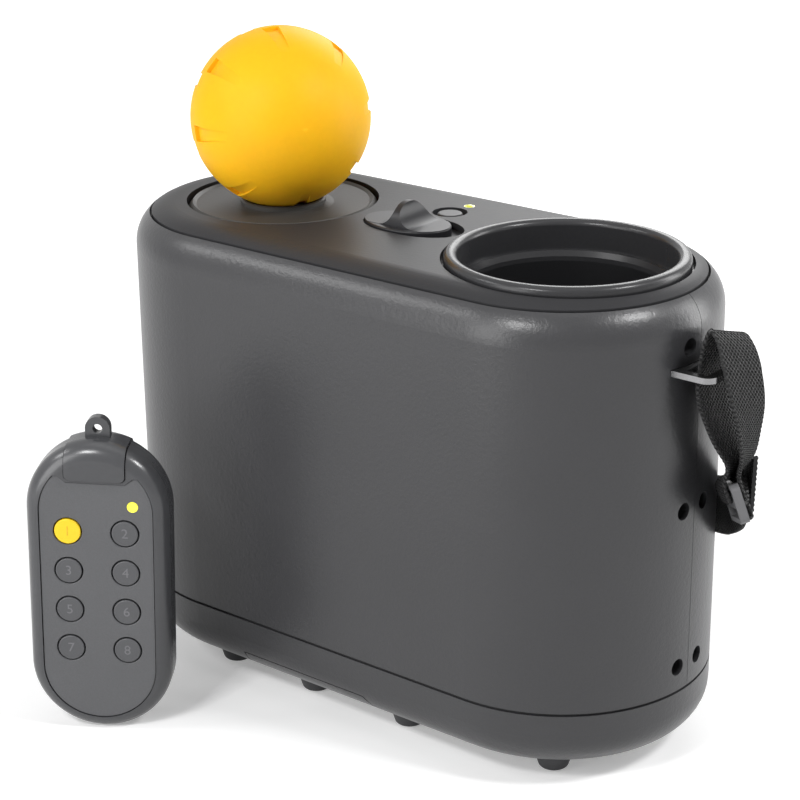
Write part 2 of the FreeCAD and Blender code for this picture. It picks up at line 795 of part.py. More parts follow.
def latch_pin():
    half = latch_width / 2 + ear_gap + ear_thickness
    return rod(Vec(latch_pin_x, -half, latch_pin_z), latch_pin_radius, 2 * half, BACK)


def servo_pinion():
    half = latch_width / 2
    pitch = 360.0 / pinion_teeth
    points = gear_outline(pinion_teeth, pinion_radius, pitch / 2, pinion_teeth)
    wheel = plate_xz(points, -half, half)
    hub = rod(Vec(0, -half, 0), 2.6, latch_width, BACK)
    shaft_hole = rod(Vec(0, -half + 1.5, 0), servo_shaft_radius + pin_clearance, latch_width, BACK)
    pinion = fuse(wheel, hub).cut(shaft_hole)
    pinion.translate(Vec(pinion_x, 0, latch_pin_z))
    return pinion


def servo_face():
    """Where the servo's front face is, behind the pinion."""
    return latch_width / 2 + 1.2 + mount_plate


def release_servo():
    x, z, y = pinion_x, latch_pin_z, servo_face()
    left = x + servo_shaft_inset - servo_length
    low, high = z - servo_width / 2, z + servo_width / 2
    body = box(left, left + servo_length, y, y + servo_depth, low, high)
    flange_left = left + servo_length / 2 - servo_flange / 2
    flange = box(flange_left, flange_left + servo_flange, y, y + servo_flange_thickness, low, high)
    collar = rod(Vec(x, y - mount_plate + 0.4, z), servo_collar_radius, mount_plate, BACK)
    shaft = rod(Vec(x, -latch_width / 2 + 1.8, z), servo_shaft_radius, y + latch_width / 2, BACK)
    return fuse(body, flange, collar, shaft)


def servo_mount():
    x, z, y = pinion_x, latch_pin_z, servo_face()
    left = x + servo_shaft_inset - servo_length / 2 - servo_flange / 2 - 3
    right = left + servo_flange + 6
    plate = box(left, right, y - mount_plate, y, z - mount_half_height, z + mount_half_height)
    plate = plate.cut(rod(Vec(x, y - mount_plate - 1, z), servo_collar_radius + 0.3, mount_plate + 2, BACK))
    rear = end_radius - shell_wall
    arm_lows = (z - mount_half_height, z + mount_half_height - mount_arm)
    arms = [box(right - 2.5, right, y - mount_plate, rear, low, low + mount_arm) for low in arm_lows]
    soles = [box(right - 6, right + 3, rear - 2, rear, low - 1, low + mount_arm + 1) for low in arm_lows]
    return fuse(plate, *(arms + soles))


# Ball rest and ball

def ball_rest():
    face_top = casing_top - rest_recess
    place = Vec(rest_place, 0, 0)
    bevel_in = rest_radius - rest_bevel
    cup_top = casing_top + cup_rise
    disc = turned([(0, face_top - rest_thickness), (rest_radius, face_top - rest_thickness),
                   (rest_radius, face_top - rest_bevel),
                   (bevel_in, face_top + 0.2), (bevel_in - 1.2, face_top - 0.6),
                   (cup_outer_radius + 3, face_top - 0.9), (cup_outer_radius, face_top - 0.6),
                   (cup_outer_radius, cup_top - 0.5), (cup_outer_radius - 0.6, cup_top),
                   (cup_inner_radius, cup_top), (cup_inner_radius - 0.8, casing_top - 3.6),
                   (0, casing_top - 4.4)], place)
    stem = rod(Vec(rest_place, 0, face_top - rest_thickness - 3.0), rest_stem_radius, 3.2)
    return fuse(disc, stem)


def ball_centre():
    ring = casing_top + cup_rise
    return Vec(rest_place, 0, ring + math.sqrt(ball_radius ** 2 - cup_inner_radius ** 2) + ball_gap)


def notch_cutter():
    """What one notch takes out of the ball: it deepens from its tip to its end, and widens."""
    def spot(degrees, radius):
        angle = math.radians(degrees)
        return Vec(radius * math.sin(angle), -ball_radius, radius * math.cos(angle))

    middle = (notch_start + notch_end) / 2
    outside = ball_radius + 3.0
    floor = Part.Arc(spot(notch_start, ball_radius + 0.05), spot(middle, ball_radius - notch_depth / 2),
                     spot(notch_end, ball_radius - notch_depth)).toShape()
    rest = Part.makePolygon([spot(notch_end, ball_radius - notch_depth), spot(notch_end, outside),
                             spot(middle, outside + 3.0), spot(notch_start, outside),
                             spot(notch_start, ball_radius + 0.05)])
    slab = Part.Face(Part.Wire([floor] + rest.Edges)).extrude(Vec(0, 2 * ball_radius, 0))
    reach = ball_radius * math.radians(notch_end - notch_start) / 2 + 1.0
    half_w, half_t = notch_width / 2, notch_tip_width / 2
    points = [Vec(0, -half_w, -reach), Vec(0, half_w, -reach), Vec(0, half_t, reach), Vec(0, -half_t, reach)]
    wedge = Part.Face(Part.makePolygon(points + [points[0]])).extrude(Vec(2 * ball_radius, 0, 0))
    wedge.rotate(Vec(0, 0, 0), BACK, middle - 90)
    return slab.common(wedge)


def ball():
    centre = ball_centre()
    sphere = Part.makeSphere(ball_radius, Vec(0, 0, 0), UP)
    cutters = []
    for pole in (1, -1):
        for i in range(notches_per_ring):
            cutter = notch_cutter()
            cutter.rotate(Vec(0, 0, 0), UP, notch_turn + (i + 0.5 * (pole < 0)) * 360.0 / notches_per_ring)
            if pole < 0:
                cutter.rotate(Vec(0, 0, 0), RIGHT, 180)
            cutters.append(cutter)
    solid = sphere.cut(cutters)
    solid.rotate(Vec(0, 0, 0), RIGHT, 90 - notch_pole_height)
    solid.rotate(Vec(0, 0, 0), UP, notch_pole_azimuth)
    solid.translate(centre)
    return solid


# Top cover and its controls

def slider_outline(half_length, half_width, z, middle):
    ellipse = Part.Ellipse(Vec(middle, 0, z), half_length, half_width).toShape()
    return Part.Face(Part.Wire([ellipse]))


def slider_track():
    """The track's space: the slider's oval swept along its travel, with a clearance."""
    length, width = slider_half_length + slider_gap, slider_half_width + slider_gap
    depth = slider_recess + 1
    low = casing_top - slider_recess
    ends = [slider_outline(length, width, low, slider_place + shift).extrude(Vec(0, 0, depth))
            for shift in (0, slider_travel)]
    bridge = box(slider_place, slider_place + slider_travel, -width, width, low, low + depth)
    return fuse(ends[0], ends[1], bridge)


def mode_slider():
    low = casing_top - slider_recess + 0.3
    top = casing_top + slider_rise
    base = slider_outline(slider_half_length, slider_half_width, low, slider_place)
    base = round_rim(base.extrude(Vec(0, 0, top - low)), top, 0.6)
    fin = box(-slider_half_length, slider_half_length, -fin_half_width - 2, fin_half_width + 2, 0, fin_height)
    arch = rod(Vec(0, 0, 0), 1.0, 2 * slider_half_length, RIGHT)
    stretch = FreeCAD.Matrix(1, 0, 0, -slider_half_length, 0, fin_half_width, 0, 0, 0, 0, fin_height, 0)
    arch = arch.transformGeometry(stretch)
    fin = fin.common(arch)
    floor = slider_rise + 0.1
    scoops = []
    for side, radius in fin_scoops:
        reach = fin_half_top + radius
        scoop = rod(Vec(side * reach, -30, radius + floor), radius, 60, BACK)
        beyond = box(min(side * reach, side * 30), max(side * reach, side * 30), -30, 30, floor, 30)
        above = box(min(side * fin_half_top, side * 30), max(side * fin_half_top, side * 30), -30, 30,
                    radius + floor, 30)
        scoops += [scoop, beyond, above]
    fin = fin.cut(scoops)
    fin.translate(Vec(slider_place, 0, casing_top))
    oval = slider_outline(slider_half_length - 0.3, slider_half_width - 0.3, casing_top, slider_place)
    fin = fin.common(oval.extrude(UP * 20))
    stem = box(slider_place - slider_stem_half, slider_place + slider_stem_half,
               -slider_stem_half, slider_stem_half,
               casing_top - slider_recess - slider_stem_length, low + 0.1)
    return fuse(base, fin, stem)


def top_cover():
    edge = cover_inset + cover_groove
    outline = racetrack(edge, casing_top - cover_depth, casing_top)
    dome = round_rim(racetrack(0, casing_top - shoulder_radius - 2, casing_top), casing_top, shoulder_radius)
    cover = outline.common(dome)
    hollow = racetrack(edge + cover_skin, casing_top - cover_depth - 1, casing_top - cover_skin)
    well = rod(Vec(power_x, power_y, casing_top - cover_depth), power_well_radius + 1.6, cover_depth - 1)
    bed = slider_outline(slider_half_length + slider_travel + 2, slider_half_width + 2.4,
                         casing_top - slider_recess - 1.6, slider_place + slider_travel / 2)
    bed = bed.extrude(Vec(0, 0, slider_recess))
    flange_radius = collar_radius + collar_flange_width
    flange_room = rod(Vec(tube_place, 0, 0), flange_radius + 0.3, casing_top - cover_skin)
    cover = cover.cut(hollow).fuse([well, bed]).cut(flange_room)
    slot_half = slider_stem_half + 0.5
    stem_slot = box(slider_place - slot_half, slider_place + slot_half + slider_travel,
                    -slot_half, slot_half, casing_top - 12, casing_top)
    cuts = [rod(Vec(tube_place, 0, 0), collar_radius + collar_hole_gap, through),
            rod(Vec(rest_place, 0, 0), rest_radius + rest_hole_gap, through),
            slider_track(), stem_slot,
            rod(Vec(power_x, power_y, casing_top - 2.2), power_well_radius, 5),
            rod(Vec(power_x, power_y, 0), power_radius + power_gap, through),
            rod(Vec(lens_x, lens_y, 0), lens_radius + 0.1, through)]
    rest_floor = rod(Vec(rest_place, 0, casing_top - 8.4), rest_radius + rest_hole_gap + 1.8, 2.0)
    rest_wall = rod(Vec(rest_place, 0, casing_top - 8.4), rest_radius + rest_hole_gap + 1.8, 6.8)
    rest_wall = rest_wall.cut(rod(Vec(rest_place, 0, casing_top - 9), rest_radius + rest_hole_gap, 12))
    rest_floor = rest_floor.cut(rod(Vec(rest_place, 0, casing_top - 10), rest_stem_radius + 0.2, 5))
    cover = cover.cut(cuts).fuse([rest_floor, rest_wall])
    keep = racetrack(edge, casing_top - 12, casing_top + 1)
    return cover.common(keep).removeSplitter()


def power_button():
    top = casing_top - 0.2
    cap = round_rim(rod(Vec(power_x, power_y, top - 7.0), power_radius, 7.0), top, 0.9)
    flange = rod(Vec(power_x, power_y, power_foot), power_radius + 1.4, 1.2)
    link = rod(Vec(power_x, power_y, power_foot), power_radius - 1, 3.0)
    return fuse(cap, flange, link)


def light_lens():
    stem = rod(Vec(lens_x, lens_y, casing_top - cover_skin - 1.5), lens_radius, cover_skin + 1.5)
    dome = Part.makeSphere(lens_radius * 1.6, Vec(lens_x, lens_y, casing_top + 0.5 - lens_radius * 1.6))
    stem_tall = rod(Vec(lens_x, lens_y, casing_top - 1), lens_radius, 3)
    flange = rod(Vec(lens_x, lens_y, casing_top - cover_skin - 1.5), lens_radius + 0.5, 1.4)
    return fuse(stem, flange, stem_tall.common(dome))


def control_board():
    """Small board under the cover that carries the two switches."""
    top = control_board_top
    board = box(slider_place - 16, slider_place + 20, -9, 34, top - board_thickness, top)
    clear = rod(Vec(tube_place, 0, top - 5), collar_radius + collar_flange_width + 1, 10)
    other = rod(Vec(rest_place, 0, top - 5), rest_radius + rest_hole_gap + 3, 10)
    pillars = [rod(Vec(slider_place + x, 31, top), 2.0, casing_top - cover_skin - top) for x in (-12, 16)]
    return fuse(board.cut([clear, other]), *pillars)


def mode_switch():
    """Slide switch that the slider's stem moves."""
    stem_low = casing_top - slider_recess - slider_stem_length
    middle = slider_place + slider_travel / 2
    return box(middle - 8, middle + 8, -4, 4, control_board_top, stem_low - 0.6)


def power_switch():
    half = power_switch_half
    return box(power_x - half, power_x + half, power_y - half, power_y + half,
               control_board_top, power_foot - power_travel - 0.3)


def main_board():
    board = box(board_place, board_place + board_length, board_y, board_y + board_thickness,
                board_low, board_low + board_height)
    chips = [box(board_place + x, board_place + x + width, board_y - rise, board_y + 0.1,
                 board_low + z, board_low + z + tall)
             for x, z, width, tall, rise in ((8, 40, 10, 10, 1.6), (26, 8, 10, 10, 6.0), (6, 10, 6, 14, 4.0))]
    pillars = [rod(Vec(board_place + x, board_y + board_thickness - 0.1, board_low + z), 2.2,
                   end_radius - shell_wall - board_y - board_thickness + 0.1, BACK)
               for x in (5, board_length - 5) for z in (5, board_height - 5)]
    return fuse(board, *(chips + pillars))


def antenna():
    base = rod(Vec(board_place + board_length - 8, board_y - 2.0, board_low + board_height - 14), 1.8, 10)
    whip_low = board_low + board_height - 5
    whip_high = casing_top - antenna_drop
    whip = rod(Vec(board_place + board_length - 8, board_y - 2.0, whip_low), 0.8, whip_high - whip_low)
    return fuse(base, whip)


# End posts and screws

def end_post(side):
    x0, x1 = post_face - post_thickness, post_face
    low, high = shell_low + 4, casing_top - cover_depth - 6
    post = box(x0, x1, -post_half_width, post_half_width, low, high)
    if side > 0:
        room = rod(Vec(tube_place, 0, low - 1), tube_outer + collar_skirt_wall + 0.4, high)
        pins = [rod(Vec(x0 - 1, y, z), screw_shank_radius, 20, RIGHT)
                for y in (-screw_spread, screw_spread) for z in screw_heights()]
        return post.cut([room, strap_loop(x0)] + pins)
    post = post.mirror(Vec(0, 0, 0), RIGHT).cut(left_loop_block(0.3))
    pins = [rod(Vec(-x1 - 10, y, z), screw_shank_radius, 20, RIGHT)
            for y in (-screw_spread, screw_spread) for z in screw_heights()]
    return post.cut(pins)


def shell_screws():
    return Part.makeCompound([screw(place, direction, shell_screw_length)
                              for place, direction in end_screw_places()])


def base_screws():
    head = tub_bottom + base_screw_sink
    return Part.makeCompound([screw(Vec(x, y, head), UP, base_screw_length) for x, y in base_screw_places()])


# Strap

def webbing(stations, thickness):
    """Flat band through (edge, edge) pairs of points, lofted with straight sides."""
    sections = []
    count = len(stations)
    middles = [(a + b) * 0.5 for a, b in stations]
    for i in range(count):
        near, far = stations[i]
        before, after = middles[max(0, i - 1)], middles[min(count - 1, i + 1)]
        run = (after - before).normalize()
        across = (far - near).normalize()
        normal = run.cross(across).normalize() * (thickness / 2)
        corners = [near + normal, far + normal, far - normal, near - normal]
        sections.append(Part.makePolygon(corners + [corners[0]]))
    return Part.makeLoft(sections, True, True)


def edge_pair(middle, across_y, across_z, across_x=0.0):
    """Two edge points of the strap, half its width each way from middle."""
    across = Vec(across_x, across_y, across_z).normalize() * (strap_width / 2)
    return (middle - across, middle + across)


def strap_end_loop():
    """The strap's end turn: up through the steel loop, over its bar and down to the adjuster."""
    x, z = slot_middle, loop_height
    middle, across, along, out = adjuster_frame()
    beside = out * (adjuster_thickness / 2 + strap_thickness / 2 + layer_gap)
    lower = middle - along * 0.8
    upper = middle - along * 7.4
    rising = [
        edge_pair(lower - beside, across.y, across.z, across.x),
        edge_pair(upper - beside, across.y, across.z, across.x),
        edge_pair(Vec(x + 1.1, 7.5, z - 36.4), 0.82, -0.25, -0.50),
        edge_pair(Vec(x + 1.4, 5.0, z - 27.8), 0.92, -0.18, -0.35),
        edge_pair(Vec(x + 0.7, 3.0, z - 21.3), 0.97, -0.12, -0.22),
        edge_pair(Vec(x - 0.6, 0.8, z - 14.7), 0.99, -0.06, -0.08),
        edge_pair(Vec(x - 1.7, 0.0, z - 8.6), 1.0, 0.0),
        edge_pair(Vec(x - 1.6, 0.0, z - 3.0), 1.0, 0.0),
        edge_pair(Vec(x - 0.8, 0.0, z), 1.0, 0.0),
        edge_pair(Vec(x + 0.2, 0.0, z + 3.0), 1.0, -0.08),
        edge_pair(Vec(x + 1.8, -0.2, z + 6.6), 1.0, -0.22, 0.04),
        edge_pair(Vec(x + 3.6, -0.3, z + 10.6), 1.0, -0.38, 0.07),
    ]
    falling = [
        edge_pair(Vec(x + 5.2, -0.3, z + 12.8), 1.0, -0.45, 0.08),
        edge_pair(Vec(x + 7.0, -0.3, z + 12.6), 1.0, -0.45, 0.08),
        edge_pair(Vec(x + 8.3, -0.2, z + 9.2), 1.0, -0.30, 0.08),
        edge_pair(Vec(x + 8.7, 0.0, z + 3.0), 1.0, -0.04, 0.05),
        edge_pair(Vec(x + 11.1, 0.2, z - 5.0), 1.0, -0.12, 0.10),
        edge_pair(Vec(x + 12.3, 1.2, z - 10.1), 1.0, -0.19, 0.05),
        edge_pair(Vec(x + 12.5, 3.0, z - 15.7), 1.0, -0.27, -0.09),
        edge_pair(Vec(x + 11.0, 5.4, z - 21.6), 0.93, -0.31, -0.21),
        edge_pair(Vec(x + 9.5, 6.8, z - 28.2), 0.89, -0.34, -0.30),
        edge_pair(Vec(x + 7.5, 8.8, z - 36.5), 0.84, -0.33, -0.40),
        edge_pair(upper + beside, across.y, across.z, across.x),
        edge_pair(lower + beside, across.y, across.z, across.x),
    ]
    return webbing(rising + falling, strap_thickness)


def adjuster_frame():
    """The adjuster's middle and its three directions: across the strap, along it and out of its face."""
    middle = Vec(slot_middle + adjuster_out, adjuster_back, loop_height - adjuster_drop)
    across = Vec(-0.56, 0.75, -0.35).normalize()
    along = Vec(0.38, 0.0, -0.92)
    along = (along - across * along.dot(across)).normalize()
    return middle, across, along, along.cross(across).normalize()


def strap_adjuster():
    """Ladder buckle: a frame with a bar across its middle."""
    middle, across, along, out = adjuster_frame()
    slot_half = strap_width / 2 + 0.6
    half_w, half_l, half_t = slot_half + adjuster_border, adjuster_length / 2, adjuster_thickness / 2
    frame = box(-half_w, half_w, -half_l, half_l, -half_t, half_t)
    upright = [e for e in frame.Edges if e.BoundBox.ZLength > 2 * half_t - 0.1]
    frame = frame.makeFillet(adjuster_border - 0.4, upright)
    low, high = adjuster_slot
    for y0, y1 in ((-high, -low), (low, high)):
        frame = frame.cut(box(-slot_half, slot_half, y0, y1, -5, 5))
    turn = FreeCAD.Matrix(across.x, along.x, out.x, middle.x,
                          across.y, along.y, out.y, middle.y,
                          across.z, along.z, out.z, middle.z)
    frame.Placement = FreeCAD.Placement(turn)
    return frame


def round_end_point(middle_x, degrees, distance, z):
    """Point beside a round end: degrees from +X towards the back, at a distance from the end's centre."""
    angle = math.radians(degrees)
    return Vec(middle_x + distance * math.cos(angle), distance * math.sin(angle), z)


def strap_run():
    """The strap behind the casing, from the adjuster round to the left loop."""
    off = end_radius + strap_stand_off
    middle, across, along, out = adjuster_frame()
    beside = out * (adjuster_thickness / 2 + strap_thickness / 2 + layer_gap)
    start = middle + along * 0.8 + beside
    turning = across * strap_width - along * 3.0 + out * 0.8
    behind = middle + along * 9.0 + out * 1.4 + across * 15.0
    stations = [edge_pair(start, across.y, across.z, across.x),
                edge_pair(middle + along * 3.5 + out * 3.2, turning.y, turning.z, turning.x),
                edge_pair(behind + UP * (strap_width / 2) + Vec(-1.0, 1.2, 0), 0.12, 1.0, -0.10)]
    falling = ((30, 1.9, -60.5), (40, 0.6, -65.5), (52, 0, -70), (64, 0, -73), (78, 0, -76), (90, 0, -78))
    for degrees, away, drop in falling:
        place = round_end_point(half_centres, degrees, off + away, loop_height + drop)
        stations.append(edge_pair(place, 0, 1.0))
    back_low = loop_height - 78
    for share in (0.2, 0.4, 0.6, 0.8):
        sag = strap_sag * 4 * share * (1 - share)
        place = Vec(half_centres - 2 * half_centres * share, off, back_low - sag + 20 * share)
        stations.append(edge_pair(place, 0, 1.0))
    for degrees, rise in ((90, 20), (104, 26), (118, 34), (130, 44)):
        stations.append(edge_pair(round_end_point(-half_centres, degrees, off, back_low + rise), 0, 1.0))
    radial = round_end_point(0, 180 + loop_left_turn, 1, 0)
    tangent = Vec(-radial.y, radial.x, 0)
    slot = slot_middle - half_centres
    low = Vec(-half_centres, 0, loop_height) + radial * slot
    near = low - radial * (slot - end_radius - 6.0) - tangent * 12 + DOWN * 24
    stations.append(edge_pair(near, -tangent.y * 0.5, 0.87, -tangent.x * 0.5))
    stations.append(edge_pair(low - tangent * 3 + DOWN * 12, -tangent.y, 0.40, -tangent.x))
    for away, rise in ((0, 0), (0.9, 6), (4.8, 9), (8.4, 5.5), (9.2, -6), (8.0, -24)):
        stations.append(edge_pair(low + radial * away + UP * rise, -tangent.y, 0, -tangent.x))
    return webbing(stations[::-1], strap_thickness)


def strap_tail():
    """The strap's loose end, lying outside the run and standing out past the adjuster."""
    off = end_radius + strap_stand_off + strap_thickness + layer_gap
    end_x = wall_end + loop_reach
    stations = [edge_pair(round_end_point(half_centres, 46, off + 0.9, loop_height - 66.5), 0, 1.0),
                edge_pair(round_end_point(half_centres, 34, off + 1.9, loop_height - 60.0), 0, 1.0),
                edge_pair(Vec(end_x - 5.6, 25.8, loop_height - 50.0), 0.0, 1.0, 0.02),
                edge_pair(Vec(end_x - 1.6, 19.6, loop_height - 46.4), 0.0, 1.0, 0.03)]
    return webbing(stations, strap_thickness)


# Remote control, modelled facing -Y over its own origin and then put in place

def remote_plan(inset, y0, y1):
    """Upright round-ended block, drawn in by inset, from y0 to y1."""
    radius = remote_radius - inset
    low, high = remote_radius, remote_height - remote_radius
    left = Part.LineSegment(Vec(-radius, y0, high), Vec(-radius, y0, low)).toShape()
    bottom = Part.Arc(Vec(-radius, y0, low), Vec(0, y0, low - radius), Vec(radius, y0, low)).toShape()
    right = Part.LineSegment(Vec(radius, y0, low), Vec(radius, y0, high)).toShape()
    top = Part.Arc(Vec(radius, y0, high), Vec(0, y0, high + radius), Vec(-radius, y0, high)).toShape()
    return Part.Face(Part.Wire([left, bottom, right, top])).extrude(Vec(0, y1 - y0, 0))


def remote_block(inset):
    half = remote_depth / 2 - inset
    block = remote_plan(inset, -half, half)
    flat = [e for e in block.Edges if e.BoundBox.YLength < 1e-4]
    return block.makeFillet(remote_edge_round - inset, flat)


def lean_remote(shape, degrees):
    """Turns a shape about the centre of the remote's round bottom, in the plane of its face."""
    leaned = shape.copy()
    leaned.rotate(Vec(0, 0, remote_radius), BACK, degrees)
    return leaned


def place_remote(shape):
    placed = lean_remote(shape, remote_lean)
    placed.translate(Vec(0, 0, -remote_foot_cut))
    placed.rotate(Vec(0, 0, 0), UP, remote_turn)
    placed.translate(Vec(remote_x, remote_y, 0))
    return placed


def key_places():
    return [(side * key_pitch_x / 2, key_lowest + key_pitch_z * row)
            for row in range(key_rows - 1, -1, -1) for side in (-1, 1)]


def face_holes():
    """Holes for the keys and the light, through the remote's face."""
    y = -remote_depth / 2 - 2
    keys = [rod(Vec(x, y, z), key_radius + key_gap, 8, BACK) for x, z in key_places()]
    return keys + [rod(Vec(light_x, y, light_z), light_radius + 0.1, 8, BACK)]


def panel_space(inset, y0, y1):
    """The face panel's outline: the remote's plan drawn in, cut off below the cap."""
    plan = remote_plan(panel_inset + inset, y0, y1)
    half = remote_radius
    top = panel_top - inset
    ear_top = top + panel_ear_rise
    ears = plate_xz([(-half, -5), (half, -5), (half, ear_top), (cap_half_width + 2.4, ear_top),
                     (cap_half_width - 0.5, top), (-cap_half_width + 0.5, top),
                     (-cap_half_width - 2.4, ear_top), (-half, ear_top)], y0, y1)
    return plan.common(ears)


def cap_space(inset):
    """The cap's outline from the front, over the remote's top."""
    half = cap_half_width - inset
    block = box(-half, half, -20, 20, cap_low + inset, remote_height + 10)
    lower = [e for e in block.Edges
             if e.BoundBox.YLength > 30 and e.BoundBox.ZMax < cap_low + inset + 0.1]
    return block.makeFillet(2.0, lower)


def remote_shells():
    wide, deep = 2 * remote_radius, remote_depth
    ground = box(-wide, wide, -deep, deep, -10, remote_foot_cut)
    outside = remote_block(0).cut(lean_remote(ground, -remote_lean))
    inside = remote_block(remote_wall)
    skin = outside.cut(inside)
    face_y = -remote_depth / 2
    seat = panel_space(-0.15, face_y - 1, face_y + panel_recess + panel_thickness)
    bed = panel_space(-0.15, face_y, face_y + panel_recess + panel_thickness + 1.2)
    skin = skin.fuse(bed.common(outside)).cut(seat)
    neck = remote_plan(3.2, -remote_depth / 2 + 2.2, remote_depth / 2 - 2.2)
    neck = neck.common(cap_space(-1.5)).cut(inside.common(box(-wide, wide, -deep, deep, 0, cap_low - 1)))
    skin = skin.cut(cap_space(0)).fuse(neck)
    skin = skin.cut(face_holes())
    split = remote_split + remote_seam
    front = skin.common(box(-wide, wide, -deep, remote_split, 0, through))
    back = skin.common(box(-wide, wide, split, deep, 0, through))
    seat_y = remote_depth / 2 - remote_screw_sink - screw_head_height
    tip_y = remote_depth / 2 - remote_screw_sink - remote_screw_length
    for x, z in remote_screw_xz:
        foot_y = face_y + remote_wall
        post = rod(Vec(x, foot_y, z), remote_post_radius, remote_split - foot_y, BACK)
        front = front.fuse(post.common(outside)).cut(rod(Vec(x, tip_y, z), screw_shank_radius, 20, BACK))
        boss = rod(Vec(x, split, z), screw_recess_radius + 1.2, remote_depth / 2, BACK)
        back = back.fuse(boss.common(outside))
        back = back.cut([rod(Vec(x, seat_y, z), screw_recess_radius, 20, BACK),
                         rod(Vec(x, -1, z), screw_shank_radius + 0.1, 20, BACK)])
    return front.removeSplitter(), back.removeSplitter()


def remote_panel():
    face_y = -remote_depth / 2
    front = face_y + panel_recess
    panel = panel_space(0.15, front, front + panel_thickness).cut(face_holes())
    rim_length = 2 * math.pi * (key_radius + key_gap)
    rims = [e for e in panel.Edges
            if abs(e.BoundBox.YMax - front) < 1e-4 and abs(e.Length - rim_length) < 0.01]
    return panel.makeFillet(hole_round, rims)


def remote_cap():
    outer = remote_block(-cap_rise).common(cap_space(cap_gap))
    hollow = remote_plan(3.2 - 0.3, -remote_depth / 2 + 1.9, remote_depth / 2 - 1.9)
    cap = outer.cut(hollow)
    top = remote_height + lanyard_rise
    half_t = lanyard_thickness / 2
    ring = rod(Vec(0, -half_t, top), lanyard_ring_radius, lanyard_thickness, BACK)
    root = box(-lanyard_ring_radius, lanyard_ring_radius, -half_t, half_t, remote_height - 1.0, top)
    cap = fuse(cap, ring, root)
    return cap.cut(rod(Vec(0, -10, top), lanyard_hole_radius, 20, BACK))


def remote_key(x, z):
    face_y = -remote_depth / 2 + panel_recess - key_rise
    key = rod(Vec(x, face_y, z), key_radius, key_depth, BACK)
    rim = [e for e in key.Edges
           if abs(e.BoundBox.YMin - face_y) < 1e-4 and abs(e.BoundBox.YMax - face_y) < 1e-4]
    key = key.makeFillet(0.35, rim)
    skirt = rod(Vec(x, face_y + key_depth - 0.8, z), key_radius + 0.9, 0.8, BACK)
    return fuse(key, skirt)


def remote_light():
    face_y = -remote_depth / 2 + panel_recess
    lens = rod(Vec(light_x, face_y - 0.2, light_z), light_radius, 4.6, BACK)
    return fuse(lens, rod(Vec(light_x, face_y + 3.5, light_z), light_radius + 0.8, 0.9, BACK))


def remote_board_y():
    return -remote_depth / 2 + panel_recess - key_rise + key_depth + key_travel + 0.4


def remote_board():
    y = remote_board_y()
    board = remote_plan(remote_wall + 2.2, y, y + board_thickness)
    board = board.common(box(-remote_radius, remote_radius, y - 1, y + board_thickness + 1, 8, cap_low - 8))
    half = remote_radius - remote_wall
    edges = [box(side * half - 3 * (side > 0), side * half + 3 * (side < 0), y, y + board_thickness, z, z + 6)
             for side in (-1, 1) for z in (30, 68)]
    holes = [rod(Vec(x, y - 1, z), remote_post_radius + 0.3, 5, BACK) for x, z in remote_screw_xz]
    return fuse(board, *edges).cut(holes)


def remote_cell():
    y = remote_board_y() + board_thickness
    return rod(Vec(0, y, 44), 10.0, 3.2, BACK)


def remote_screws():
    y = remote_depth / 2 - remote_screw_sink
    return Part.makeCompound([screw(Vec(x, y, z), FRONT, remote_screw_length)
                              for x, z in remote_screw_xz])


# Write every piece

front_shell, rear_shell = shells()
save("front_shell", front_shell)
save("rear_shell", rear_shell)
save("top_cover", top_cover())
save("base_tub", base_tub())
save("base_seal", base_seal())
save("feet", Part.makeCompound([foot(x, y, foot_stem_length) for x, y in foot_places()]))
save("battery_door", battery_door())
save("door_foot", foot(door_foot_place, -inset_y(door_foot_place, foot_inset), door_foot_stem))
save("battery_pack", battery_pack())
save("battery_contacts", battery_contacts())
save("launch_collar", launch_collar())
save("launch_tube", launch_tube())
save("tube_floor", tube_floor())
save("plunger", plunger())
save("launch_spring", launch_spring())
save("latch_lever", latch_lever())
save("latch_pin", latch_pin())
save("servo_pinion", servo_pinion())
save("release_servo", release_servo())
save("servo_mount", servo_mount())
save("ball_rest", ball_rest())
save("ball", ball())
save("mode_slider", mode_slider())
save("power_button", power_button())
save("light_lens", light_lens())
save("control_board", control_board())
save("mode_switch", mode_switch())
save("power_switch", power_switch())
save("main_board", main_board())
save("antenna", antenna())
save("end_post_right", end_post(1))
save("end_post_left", end_post(-1))
save("shell_screws", shell_screws())
save("base_screws", base_screws())
save("strap_loop_right", strap_loop(post_face - post_thickness))
save("strap_loop_left", to_left_loop(strap_loop(wall_end - left_tongue_depth)))
save("strap_end_loop", strap_end_loop())
save("strap_adjuster", strap_adjuster())
save("strap_run", strap_run())
save("strap_tail", strap_tail())
handset_front, handset_back = remote_shells()
save("handset_front", place_remote(handset_front))
save("handset_back", place_remote(handset_back))
save("handset_panel", place_remote(remote_panel()))
save("handset_cap", place_remote(remote_cap()))
for number, (x, z) in enumerate(key_places(), 1):
    save(f"handset_key_{number}", place_remote(remote_key(x, z)))
save("handset_light", place_remote(remote_light()))
save("handset_board", place_remote(remote_board()))
save("handset_cell", place_remote(remote_cell()))
save("handset_screws", place_remote(remote_screws()))
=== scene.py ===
# %% [markdown]
# # A ball launcher for dogs, dressed for its portrait
# The solids of this machine come from a CAD model that is already finished: a tall casing with
# round ends, a launch tube, a slider, a strap and a small remote control. Here they get their
# looks. We load them, give every piece a finish made of shader nodes, make the woven strap and
# the launch spring as meshes of their own, print numbers on the remote's keys, and light the
# whole like a studio product.
# Lengths are in metres, +X points to the launch tube's end, -Y to the front and +Z up.

import math

import bmesh
import bpy
from mathutils import Matrix, Vector


